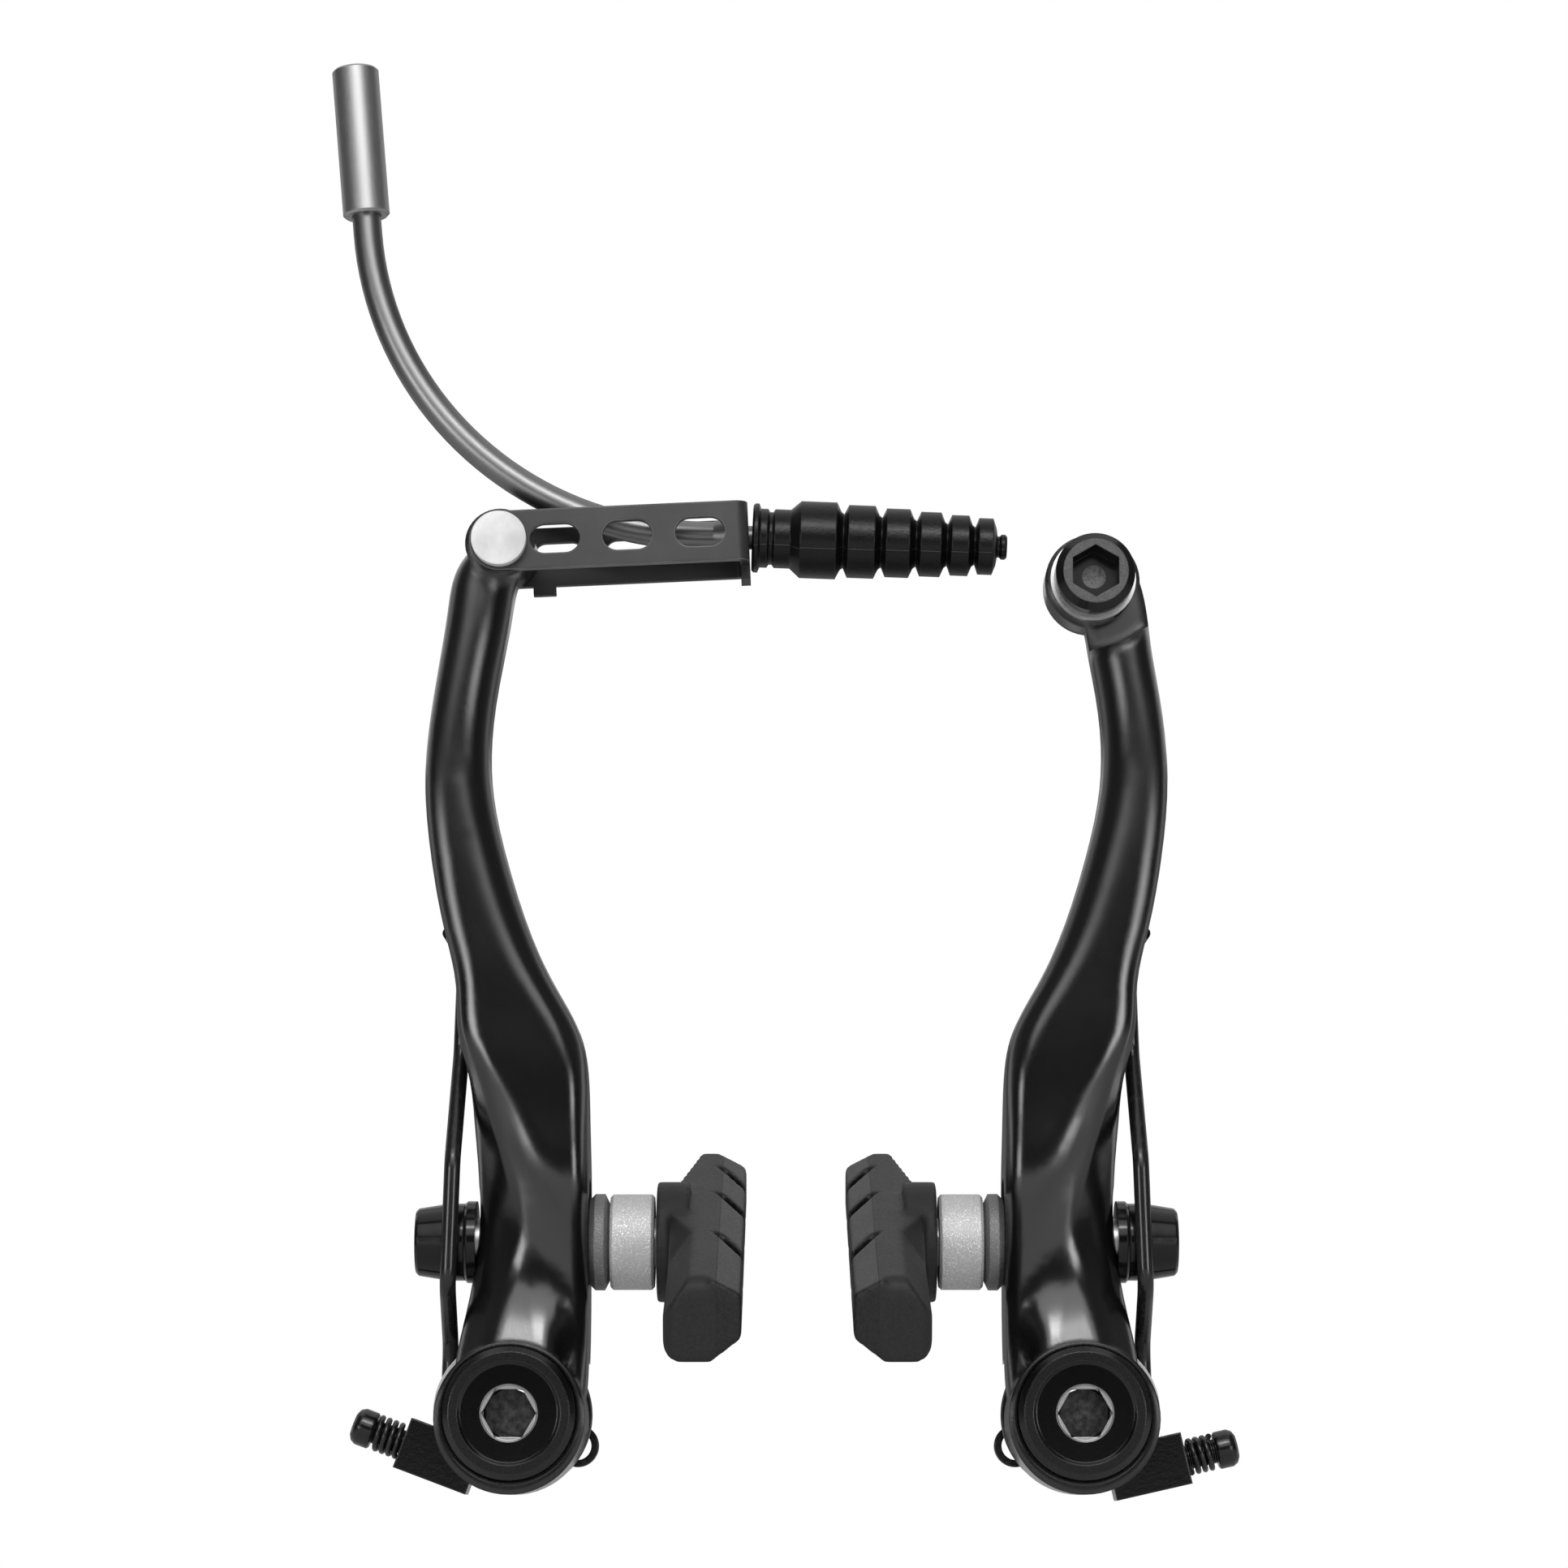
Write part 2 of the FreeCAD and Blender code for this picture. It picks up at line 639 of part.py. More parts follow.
def bent_path(points, radius):
    # Straight runs joined by tangent arcs of one radius.
    edges = []
    start = points[0]
    for before, corner, after in zip(points, points[1:], points[2:]):
        back = (before - corner).normalize()
        onward = (after - corner).normalize()
        half = back.getAngle(onward) / 2.0
        reach = radius / math.tan(half)
        bisector = (back + onward).normalize()
        first = corner + back * reach
        last = corner + onward * reach
        middle = corner + bisector * (radius / math.sin(half) - radius)
        edges.append(Part.LineSegment(start, first).toShape())
        edges.append(Part.Arc(first, middle, last).toShape())
        start = last
    edges.append(Part.LineSegment(start, points[-1]).toShape())
    return edges


def leg_places():
    # Depths of the spring's leg at the coil, in front of the nut and behind the arm.
    clear = d.leg_arm_gap + d.spring_wire_radius
    front = d.stud_depth + d.nut_radius + clear
    behind = d.arm_back_j - clear
    return coil_end.number, front.number, behind.number


def return_spring(side):
    # Wire coiled round the bush; its leg passes in front of the pad nut and hooks behind the arm.
    wire = d.spring_wire_radius.number
    radius = d.coil_radius.number
    pitch = d.coil_pitch.number
    turns = d.coil_turns.number
    lean = math.radians(d.leg_lean.number)
    leaving_depth, front, behind = leg_places()
    # drawn for the right side with Y forwards, and turned to its place afterwards
    helix = Part.makeHelix(pitch, pitch * turns, radius)
    spin = -math.degrees(2.0 * math.pi * turns) + d.leg_lean.number
    helix.rotate(V(0, 0, 0), V(0, 0, 1), spin)
    helix.translate(V(0, 0, coil_start.number))
    leaving = V(math.cos(lean), math.sin(lean), 0) * radius
    upward = V(-math.sin(lean), math.cos(lean), 0)

    def on_leg(rise, depth):
        return leaving + upward * rise + V(0, 0, depth)

    rise = d.leg_rise.number
    corners = [
        on_leg(0, leaving_depth),
        on_leg(rise, leaving_depth + leg_slope.number * rise),
        on_leg(d.leg_front_start.number, front),
        on_leg(d.leg_front_end.number, front),
        on_leg(d.leg_back_start.number, behind),
        on_leg(d.spring_pin_height.number + d.leg_past_pin.number, behind)]
    edges = helix.Edges + bent_path(corners, d.leg_bend_radius.number)
    first = helix.Edges[0]
    start = first.valueAt(first.FirstParameter)
    heading = first.tangentAt(first.FirstParameter)
    shape = swept(edges, start, heading, wire)
    if side.sign < 0:
        shape = shape.mirror(V(0, 0, 0), V(1, 0, 0))
    spring = doc.addObject("Part::Feature", side.label("spring_wire"))
    spring.Shape = shape
    spring.Placement = FreeCAD.Placement(V(side.pivot.number, 0, 0), to_front)
    keep(spring, side.label("return_spring"))


def pin_out():
    # How far outwards of the pivot the spring pin stands, against the outer side of the spring's leg.
    wire_out = (d.coil_radius - d.spring_pin_height * sine(d.leg_lean)) / cosine(d.leg_lean)
    return wire_out + d.spring_wire_radius + d.spring_pin_radius + d.seat_gap


def spring_pin(side):
    length = d.spring_pin_depth + d.spring_pin_reach
    pin = cylinder(side.label("spring_pin_rod"), d.spring_pin_radius, length)
    place(pin, side.out(pin_out()), -d.arm_back_k - d.spring_pin_depth, d.spring_pin_height, to_rear)
    keep(pin, side.label("spring_pin"))


def section_wire(side, place_name, height):
    # One cross-section of the forging, every corner eased by an arc.
    def of(column):
        return getattr(d, f"arm_{column}_{place_name}").number

    front = d.arm_front.number
    inner = of("shift") - of("width") / 2.0
    outer = of("shift") + of("width") / 2.0
    ridge = inner + of("ridge")
    crest = front - of("ridge_drop")
    lip = min(of("lip"), of("flat") * d.arm_lip_share.number)
    shoulder = min(2.0 * lip, of("flat") * d.arm_shoulder_share.number)
    face = front - of("crease_drop")
    outline = [
        (inner, of("back")),
        (inner, front - of("inner_drop")),
        (inner + lip, face - d.arm_lip_drop.number),
        (inner + shoulder, face - d.arm_shoulder_drop.number),
        (inner + of("flat"), face),
        (ridge, crest),
        (ridge + of("ridge_width"), crest - d.arm_ridge_outer_drop.number),
        (outer, front - of("outer_drop")),
        (outer, of("back"))]
    corners = [V(side.out(a).number, -b, height) for a, b in outline]
    count = len(corners)
    cuts = []
    for i, corner in enumerate(corners):
        back = corners[i - 1] - corner
        onward = corners[(i + 1) % count] - corner
        share = d.arm_edge_share.number
        reach = min(d.arm_edge_round.number, share * back.Length, share * onward.Length)
        first = corner + back.normalize() * reach
        last = corner + onward.normalize() * reach
        half = back.getAngle(onward) / 2.0
        bow = reach / math.cos(half) - reach * math.tan(half)
        middle = corner + (back + onward).normalize() * bow
        cuts.append((first, middle, last))
    edges = []
    for i, (first, middle, last) in enumerate(cuts):
        edges.append(Part.Arc(first, middle, last).toShape())
        edges.append(Part.LineSegment(last, cuts[(i + 1) % count][0]).toShape())
    return Part.Wire(edges)


def forging(side, top_stations, top_height, above):
    # The steps are stretched so that the arm's top piece stands the given rise above the last section.
    places = list(lower_stations) + list(top_stations)
    steps = [getattr(d, f"arm_step_{place_name}").number for place_name in places]
    stretch = top_height.number / (sum(steps) + above.number)
    wires = []
    height = 0.0
    for place_name, step in zip(places, steps):
        height += step * stretch
        wires.append(section_wire(side, place_name, height))
    return Part.makeLoft(wires, True, False)


def post(x, z, radius, back, front):
    # A plain cylinder along the brake's front-to-back axis.
    return Part.makeCylinder(radius, front - back, V(x, -back, z), V(0, -1, 0))


def stud_slot(side, half, start, end):
    # The tools for a slot along the pad stud, from one place outwards of the pivot to another.
    y = -d.stud_depth.number
    low = d.stud_height.number
    run = d.stud_slot_length.number
    x = min(side.out(start).number, side.out(end).number)
    length = (end - start).number
    tools = [Part.makeBox(length, 2.0 * half, run, V(x, y - half, low))]
    for z in (low, low + run):
        tools.append(Part.makeCylinder(half, length, V(x, y, z), V(1, 0, 0)))
    return tools


def arm_with_boss(side, forged):
    pivot = side.pivot.number
    back = boss_back.number
    front = boss_front.number
    coil_room = post(pivot, 0, coil_room_radius.number, 0, back)
    boss = post(pivot, -d.boss_drop.number, d.boss_radius.number, back, front)
    arm = forged.cut(coil_room).fuse(boss)
    bore = post(pivot, 0, d.bush_radius.number + d.running_clearance.number, 0, front)
    recess = post(pivot, 0, d.boss_recess_radius.number, recess_floor.number, front + d.boss_length.number)
    pin_back = d.arm_back_k.number
    pin_hole = post(side.out(pin_out()).number, d.spring_pin_height.number, d.spring_pin_radius.number,
                    pin_back - d.spring_pin_reach.number, pin_back + d.spring_pin_depth.number)
    slot = stud_slot(side, d.stud_radius.number + d.stud_slot_clearance.number, -cup_start, outer_cup_start)
    spotface = stud_slot(side, d.outer_dome_radius.number + d.nut_spotface_margin.number,
                         d.nut_seat, outer_cup_start)
    return arm.cut([bore, recess, pin_hole] + slot + spotface)


def left_arm(side):
    arm = arm_with_boss(side, forging(side, left_stations, d.eye_height, d.eye_above_top))
    x = side.out(d.eye_offset).number
    z = d.eye_height.number
    front = d.eye_front.number
    back = front - d.eye_thickness.number
    eye = post(x, z, d.eye_radius.number, back, front)
    bore = post(x, z, d.rivet_radius.number + d.running_clearance.number, back, front)
    flank = post(x, z, d.eye_radius.number + d.link_height.number, front, front + d.link_height.number)
    behind = post(x, z, d.eye_radius.number + d.link_height.number, 0, back)
    finish_arm(side, arm.fuse(eye).cut([bore, flank, behind]))


def right_arm(side):
    arm = arm_with_boss(side, forging(side, right_stations, d.clamp_height, d.clamp_above_top))
    x = side.out(d.clamp_offset).number
    z = d.clamp_height.number
    face = d.clamp_face.number
    back = face - d.clamp_boss_thickness.number
    boss = post(x, z, d.clamp_boss_radius.number, back, face)
    spotface = post(x, z, d.clamp_spotface_radius.number, face, face + d.clamp_spotface_radius.number)
    bore = post(x, z, d.clamp_bolt_radius.number + d.seat_gap.number, 0, face)
    finish_arm(side, arm.fuse(boss).cut([spotface, bore]))


def finish_arm(side, shape):
    arm = doc.addObject("Part::Feature", side.label("forging"))
    arm.Shape = shape.removeSplitter()
    keep(arm, side.label("arm"))


def out_axis(side):
    # Turns a piece's own Z axis outwards, along the pad stud.
    return FreeCAD.Rotation(V(0, 1, 0), 90 * side.sign)


def in_axis(side):
    return FreeCAD.Rotation(V(0, 1, 0), -90 * side.sign)


# How near an edge lies to a face to be counted as lying on it.
edge_snap = 0.01
stud_y = -d.stud_depth
washer_bore = d.stud_radius + d.washer_bore_clearance

# Places along the stud, measured from the pivot's axis: inwards of it and outwards of it.
cup_start = d.pad_seat + d.dome_thickness
flange_start = cup_start + d.cup_thickness + d.pad_gap
body_start = flange_start + d.pad_flange_thickness
strip_start = body_start + d.pad_body_thickness
face_start = strip_start + d.friction_thickness
outer_cup_start = d.nut_seat + d.outer_dome_thickness
nut_start = outer_cup_start + d.outer_cup_thickness


def pad_washers(side):
    dome = turned(side.label("dome_turned"), [
        (0, washer_bore),
        (0, d.dome_radius - d.dome_edge),
        (d.dome_edge, d.dome_radius),
        (d.dome_thickness - d.dome_edge, d.dome_radius),
        (d.dome_thickness, d.dome_radius - d.dome_edge * 2.0),
        (d.dome_thickness + d.dome_crown, washer_bore)])
    place(dome, side.out(-d.pad_seat), stud_y, d.stud_height, in_axis(side))
    keep(dome, side.label("pad_dome_washer"))
    cup = turned(side.label("cup_turned"), [
        (d.dome_crown, washer_bore),
        (0, d.dome_radius - d.dome_edge * 2.0),
        (0, d.cup_radius - d.cup_edge),
        (d.cup_edge, d.cup_radius),
        (d.cup_thickness - d.cup_edge, d.cup_radius),
        (d.cup_thickness, d.cup_radius - d.cup_edge),
        (d.cup_thickness, washer_bore)])
    place(cup, side.out(-cup_start), stud_y, d.stud_height, in_axis(side))
    keep(cup, side.label("pad_cup_washer"))
    outer_dome = turned(side.label("outer_dome_turned"), [
        (0, washer_bore),
        (0, d.outer_dome_radius),
        (d.outer_dome_thickness - d.cup_edge, d.outer_dome_radius),
        (d.outer_dome_thickness, d.outer_dome_radius - d.cup_edge),
        (d.outer_dome_thickness, washer_bore)])
    place(outer_dome, side.out(d.nut_seat), stud_y, d.stud_height, out_axis(side))
    keep(outer_dome, side.label("outer_dome_washer"))
    outer_cup = turned(side.label("outer_cup_turned"), [
        (0, washer_bore),
        (0, d.outer_cup_radius),
        (d.outer_cup_thickness - d.cup_edge, d.outer_cup_radius),
        (d.outer_cup_thickness, d.outer_cup_radius - d.cup_edge),
        (d.outer_cup_thickness, washer_bore)])
    place(outer_cup, side.out(outer_cup_start), stud_y, d.stud_height, out_axis(side))
    keep(outer_cup, side.label("outer_cup_washer"))


def pad_nut(side):
    thread = d.stud_radius + d.running_clearance
    end = d.nut_length
    floor = end - d.nut_socket_depth
    nut = turned(side.label("nut_turned"), [
        (0, thread),
        (0, d.nut_radius),
        (end / 4.0, d.nut_radius),
        (end - d.cup_edge, d.nut_tip_radius),
        (end, d.nut_tip_radius - d.cup_edge),
        (end, thread)])
    place(nut, side.out(nut_start), stud_y, d.stud_height, out_axis(side))
    socket = hexagon(side.label("nut_socket"), d.nut_socket_flats, d.nut_socket_depth)
    place(socket, side.out(nut_start + floor), stud_y, d.stud_height, out_axis(side))
    keep(cut(side.label("nut_socketed"), nut, [socket]), side.label("pad_nut"))
    inner = body_start + d.stud_pad_grip
    outer = nut_start + d.nut_length - d.stud_nut_margin
    stud = cylinder(side.label("stud_rod"), d.stud_radius, inner + outer)
    place(stud, side.out(-inner), stud_y, d.stud_height, out_axis(side))
    keep(stud, side.label("pad_stud"))


def pad(side):
    # A moulded pad: round flange, thick near half with a rounded corner, tapering tail, friction strip
    # with sloped edges and slanting wear grooves. Drawn square, then tilted about its stud.
    inward = -side.sign
    near = -d.pad_front_reach.number
    far = d.pad_rear_reach.number
    half = d.pad_height.number / 2.0
    back = body_start.number
    strip = strip_start.number
    face = face_start.number
    tail = strip - d.pad_tail_thickness.number
    rim = d.pad_flange_radius.number
    # the backing, seen from above
    corners = [V(back, near, -half), V(strip, near, -half), V(strip, far, -half), V(tail, far, -half),
               V(back, rim, -half)]
    backing = Part.Face(Part.makePolygon(corners + corners[:1])).extrude(V(0, 0, 2.0 * half))
    # soft edges round the near end and along the lower back
    soft = []
    for edge in backing.Edges:
        box = edge.BoundBox
        at_near = box.YMax < near + edge_snap
        at_back = box.XMax < back + edge_snap
        if at_near and at_back or at_near and box.ZMin > half - edge_snap:
            soft.append(edge)
        elif at_back and box.ZMax < edge_snap - half and box.YLength > edge_snap:
            soft.append(edge)
    backing = backing.makeFillet(d.pad_corner_round.number, soft)
    # the chamfer along the upper back edge, running out to a point at the flange
    wide = d.pad_chamfer_width.number
    tall = d.pad_chamfer_height.number

    def chamfer_end(y):
        corner = [V(back, y, half), V(back, y, half - tall), V(back + wide, y, half)]
        return Part.makePolygon(corner + corner[:1])

    chamfer_near = Part.Face(chamfer_end(near)).extrude(V(0, -near - d.pad_chamfer_end.number, 0))
    tip = Part.Vertex(V(back, -d.pad_chamfer_tip.number, half))
    chamfer_far = Part.makeLoft([chamfer_end(-d.pad_chamfer_end.number), tip], True, True)
    backing = backing.cut([chamfer_near, chamfer_far])
    # the friction strip's section
    section = [V(strip, near, -half), V(face, near, -half + d.friction_under_slope.number),
               V(face, near, half - d.friction_top_slope.number), V(strip, near, half)]
    friction = Part.Face(Part.makePolygon(section + section[:1])).extrude(V(0, far - near, 0))
    grooves = []
    depth = d.groove_depth.number
    width = d.groove_width.number
    reach = 2.0 * depth / math.cos(math.radians(d.groove_slant.number))
    for spot in (d.groove_place_near, d.groove_place_middle, d.groove_place_far):
        groove = Part.makeBox(reach, width, 4.0 * half, V(0, -width / 2.0, -2.0 * half))
        groove.rotate(V(0, 0, 0), V(0, 0, 1), -d.groove_slant.number)
        groove.translate(V(face - depth, spot.number, 0))
        grooves.append(groove)
    friction = friction.cut(grooves)
    disc = Part.makeCylinder(rim, back - flange_start.number + d.pad_tail_thickness.number,
                             V(flange_start.number, 0, 0), V(1, 0, 0))
    stud = Part.makeCylinder(d.stud_radius.number + d.seat_gap.number, back + d.stud_pad_grip.number,
                             V(0, 0, 0), V(1, 0, 0))
    whole = backing.fuse([friction, disc]).cut(stud).removeSplitter()
    if inward < 0:
        whole = whole.mirror(V(0, 0, 0), V(1, 0, 0))
    piece = doc.addObject("Part::Feature", side.label("pad_moulding"))
    piece.Shape = whole
    spot = V(side.pivot.number, stud_y.number, d.stud_height.number)
    piece.Placement = FreeCAD.Placement(spot, FreeCAD.Rotation(V(1, 0, 0), d.pad_tilt.number))
    keep(piece, side.label("pad"))


left, right = sides
eye_x = left.out(d.eye_offset)
link_front = d.eye_front + d.link_side_gap + d.link_sheet
link_back = d.eye_front - d.eye_thickness - d.link_side_gap - d.link_sheet
link_middle = (link_front + link_back) / 2.0
link_turn = FreeCAD.Rotation(V(0, 1, 0), -d.link_tilt.number)


def link_rivet():
    rivet = turned("rivet_turned", [
        (link_back - d.rivet_tail_thickness - d.seat_gap, 0),
        (link_back - d.rivet_tail_thickness - d.seat_gap, d.rivet_tail_radius),
        (link_back - d.seat_gap, d.rivet_tail_radius),
        (link_back - d.seat_gap, d.rivet_radius),
        (link_front + d.seat_gap, d.rivet_radius),
        (link_front + d.seat_gap, d.rivet_head_radius),
        (link_front + d.seat_gap + d.rivet_head_thickness, d.rivet_head_radius),
        (link_front + d.seat_gap + d.rivet_head_thickness, 0)])
    place(rivet, eye_x, 0, d.eye_height, to_front)
    keep(rivet, "link_rivet")


def link():
    # One folded strip: two side plates, an end wall with a keyhole, slots and stop tabs.
    # Drawn about the rivet with X along the link, then tilted.
    half = d.link_height.number / 2.0
    front = -link_front.number
    back = -link_back.number
    sheet_gauge = d.link_sheet.number
    end = d.link_reach.number
    bend = d.link_bend_radius.number
    outer = Part.makeBox(end, back - front, 2.0 * half, V(0, front, -half))
    bends = [e for e in outer.Edges if e.BoundBox.XMin > end - edge_snap and e.BoundBox.ZLength > half]
    outer = outer.makeFillet(bend, bends)
    inner = Part.makeBox(end, back - front - 2.0 * sheet_gauge, 2.0 * half,
                         V(-sheet_gauge, front + sheet_gauge, -half))
    bends = [e for e in inner.Edges
             if e.BoundBox.XMin > end - sheet_gauge - edge_snap and e.BoundBox.ZLength > half]
    inner = inner.makeFillet(bend - sheet_gauge, bends)
    eye = Part.makeCylinder(half, back - front, V(0, front, 0), V(0, 1, 0))
    gap = Part.makeBox(4.0 * half, back - front - 2.0 * sheet_gauge, 2.0 * half,
                       V(-2.0 * half, front + sheet_gauge, -half))
    strip = outer.fuse(eye).cut([inner, gap])
    tab_width = d.link_tab_width.number
    drop = d.link_tab_drop.number
    tab = Part.makeBox(tab_width, sheet_gauge, drop,
                       V(d.link_tab_place.number - tab_width / 2.0, back - sheet_gauge, -half - drop))
    wall_width = d.link_wall_tab_width.number
    wall_drop = d.link_wall_tab_drop.number
    wall_tab = Part.makeBox(sheet_gauge, wall_width, wall_drop,
                            V(end - sheet_gauge, -link_middle.number - wall_width / 2.0, -half - wall_drop))
    strip = strip.fuse([tab, wall_tab])
    tools = [Part.makeCylinder(d.rivet_radius.number + d.running_clearance.number, back - front,
                               V(0, front, 0), V(0, 1, 0))]
    plates = ((front, d.link_slot_height, as_size(0.0)),
              (back - sheet_gauge, d.link_back_slot_height, d.link_back_slot_rise))
    for plate, slot_height, slot_rise in plates:
        slot_radius = slot_height.number / 2.0
        slot_run = d.link_slot_length.number - 2.0 * slot_radius
        z = slot_rise.number
        for i in range(int(d.link_slot_count.number)):
            x = d.link_first_slot.number + i * d.link_slot_pitch.number - slot_run / 2.0
            tools.append(Part.makeBox(slot_run, sheet_gauge, 2.0 * slot_radius, V(x, plate, z - slot_radius)))
            for end_x in (x, x + slot_run):
                tools.append(Part.makeCylinder(slot_radius, sheet_gauge, V(end_x, plate, z), V(0, 1, 0)))
    hole = d.nose_radius.number + d.nose_hole_clearance.number
    middle = -link_middle.number
    rise = d.pipe_rise.number
    tools.append(Part.makeCylinder(hole, 2.0 * sheet_gauge,
                                   V(end - 1.5 * sheet_gauge, middle, rise), V(1, 0, 0)))
    key = d.link_keyhole_slot.number
    tools.append(Part.makeBox(2.0 * sheet_gauge, key, half * 2.0,
                              V(end - 1.5 * sheet_gauge, middle - key / 2.0, rise)))
    piece = doc.addObject("Part::Feature", "link_strip")
    piece.Shape = strip.cut(tools).removeSplitter()
    piece.Placement = FreeCAD.Placement(V(eye_x.number, 0, d.eye_height.number), link_turn)
    keep(piece, "link")


# The pipe leaves the end wall at a slant, so what seats round it stands off by its own radius's rise.
wall_slant = d.link_tilt + d.pipe_droop
shoulder_gap = d.shoulder_radius * sine(wall_slant) + d.seat_gap
boot_gap = d.boot_lip_radius * sine(wall_slant) + d.seat_gap
nose_run = shoulder_gap + d.link_sheet + d.nose_length


def wall_point():
    # The point where the guide pipe's axis leaves the link's end wall.
    tilt = math.radians(d.link_tilt.number)
    along = V(math.cos(tilt), 0, math.sin(tilt))
    across = V(-math.sin(tilt), 0, math.cos(tilt))
    spot = along * d.link_reach.number + across * d.pipe_rise.number
    return V(eye_x.number, -link_middle.number, d.eye_height.number) + spot


def pipe_headings():
    droop = math.radians(d.pipe_droop.number)
    lean = math.radians(d.pipe_lean.number)
    outward = V(math.cos(droop), 0, -math.sin(droop))
    upward = V(-math.sin(lean), 0, math.cos(lean))
    return outward, upward


def pipe_corner():
    # Where the pipe's two straight runs would meet, and the lengths of the runs from there.
    outward, upward = pipe_headings()
    half = outward.getAngle(upward) / 2.0
    reach = d.pipe_bend_radius.number / math.tan(half)
    shoulder = d.shoulder_cone.number + d.shoulder_length.number
    tip_run = reach + d.pipe_tip_run.number + shoulder + shoulder_gap.number + d.link_sheet.number
    return wall_point() - outward * tip_run, reach


ferrule_grip = d.ferrule_length - d.ferrule_bore_depth


def pipe_tube(radius):
    # The pipe's outer or inner volume, from its tip end up into the ferrule.
    outward, upward = pipe_headings()
    corner, reach = pipe_corner()
    bisector = (outward + upward).normalize()
    half = outward.getAngle(upward) / 2.0
    bend = d.pipe_bend_radius.number
    start = corner + outward * reach
    high = corner + upward * reach
    middle = corner + bisector * (bend / math.sin(half) - bend)
    low = start + outward * d.pipe_tip_run.number
    top = corner + upward * (d.pipe_top_run.number + ferrule_grip.number)
    path = Part.Wire([
        Part.LineSegment(low, start).toShape(),
        Part.Arc(start, middle, high).toShape(),
        Part.LineSegment(high, top).toShape()])
    circle = Part.Wire(Part.Edge(Part.Circle(low, outward, radius)))
    return path.makePipeShell([circle], True, False), low, top


def noodle():
    outward, upward = pipe_headings()
    tube, low, top = pipe_tube(d.pipe_radius.number)
    cone = d.shoulder_cone.number
    length = d.shoulder_length.number
    nose = nose_run.number
    tip = Part.makeCone(d.pipe_radius.number, d.shoulder_radius.number, cone, low, outward)
    shoulder = Part.makeCylinder(d.shoulder_radius.number, length, low + outward * cone, outward)
    end = Part.makeCylinder(d.nose_radius.number, nose, low + outward * (cone + length), outward)
    bore, low, top = pipe_tube(d.pipe_bore_radius.number)
    tip_bore = Part.makeCylinder(d.pipe_bore_radius.number, cone + length + nose, low, outward)
    piece = doc.addObject("Part::Feature", "guide_pipe_bent")
    piece.Shape = tube.fuse([tip, shoulder, end]).cut([bore, tip_bore]).removeSplitter()
    keep(piece, "guide_pipe")
    skin = d.pipe_bore_radius.number - d.liner_clearance.number
    outer, low, top = pipe_tube(skin)
    tip_outer = Part.makeCylinder(skin, cone + length + nose, low, outward)
    inner, low, top = pipe_tube(d.liner_bore_radius.number)
    tip_inner = Part.makeCylinder(d.liner_bore_radius.number, cone + length + nose, low, outward)
    liner = doc.addObject("Part::Feature", "guide_liner_bent")
    liner.Shape = outer.fuse(tip_outer).cut([inner, tip_inner]).removeSplitter()
    keep(liner, "guide_liner")
    ferrule(top, upward)


def ferrule(top, upward):
    # The pipe's top end stands in a socket in the ferrule's lower part.
    socket = d.pipe_radius + d.running_clearance
    sleeve = turned("ferrule_turned", [
        (0, socket),
        (0, d.ferrule_radius - d.ferrule_edge),
        (d.ferrule_edge, d.ferrule_radius),
        (d.ferrule_length - d.ferrule_edge, d.ferrule_radius),
        (d.ferrule_length, d.ferrule_radius - d.ferrule_edge),
        (d.ferrule_length, d.ferrule_bore_radius),
        (ferrule_grip, d.ferrule_bore_radius),
        (ferrule_grip, socket)])
    spot = top - upward * ferrule_grip.number
    sleeve.Placement = FreeCAD.Placement(spot, FreeCAD.Rotation(V(0, 0, 1), upward))
    keep(sleeve, "guide_ferrule")


def boot():
    # Flared lip, waisted collar, then bellows sections that shrink towards the tip, and a small nub.
    count = int(d.boot_sections.number)
    ease = d.boot_ease
    here = d.boot_collar_length
    profile = [
        (0, d.nose_radius + d.running_clearance),
        (0, d.boot_lip_radius - ease),
        (ease, d.boot_lip_radius),
        (d.boot_lip_width, d.boot_lip_radius),
        (d.boot_lip_width + ease, d.boot_collar_radius),
        (d.boot_waist_start, d.boot_collar_radius),
        (d.boot_waist_start + ease, d.boot_waist_radius),
        (d.boot_waist_end - ease, d.boot_waist_radius),
        (d.boot_waist_end, d.boot_collar_radius),
        (here, d.boot_collar_radius)]
    here = here + d.boot_cone
    half_floor = d.boot_groove_floor / 2.0
    for i in range(count):
        share = i / (count - 1.0)
        radius = d.boot_first_radius + (d.boot_last_radius - d.boot_first_radius) * share
        length = d.boot_first_length + (d.boot_last_length - d.boot_first_length) * share
        slope = d.boot_slope - d.boot_slope * d.boot_slope_shrink * share
        if i:
            profile.append((here + half_floor, radius - d.boot_groove_depth))
            profile.append((here + half_floor + slope, radius))
        else:
            profile.append((here, radius))
        here = here + length
        profile.append((here - half_floor - slope, radius))
        profile.append((here - half_floor, radius - d.boot_groove_depth))
    tip = here + d.boot_nub_length
    profile.append((here, d.boot_nub_neck_radius))
    profile.append((here + ease, d.boot_nub_neck_radius))
    profile.append((here + ease * 2.0, d.boot_nub_radius))
    profile.append((tip - ease, d.boot_nub_radius))
    profile.append((tip, d.boot_nub_neck_radius))
    profile.append((tip, d.boot_bore_radius))
    seat = d.nose_length - boot_gap + d.seat_gap
    profile.append((seat, d.boot_bore_radius))
    profile.append((seat, d.nose_radius + d.running_clearance))
    bellows = turned("boot_turned", profile)
    outward, upward = pipe_headings()
    spot = wall_point() + outward * boot_gap.number
    bellows.Placement = FreeCAD.Placement(spot, FreeCAD.Rotation(V(0, 0, 1), outward))
    keep(bellows, "cable_boot")


clamp_x = right.out(d.clamp_offset)


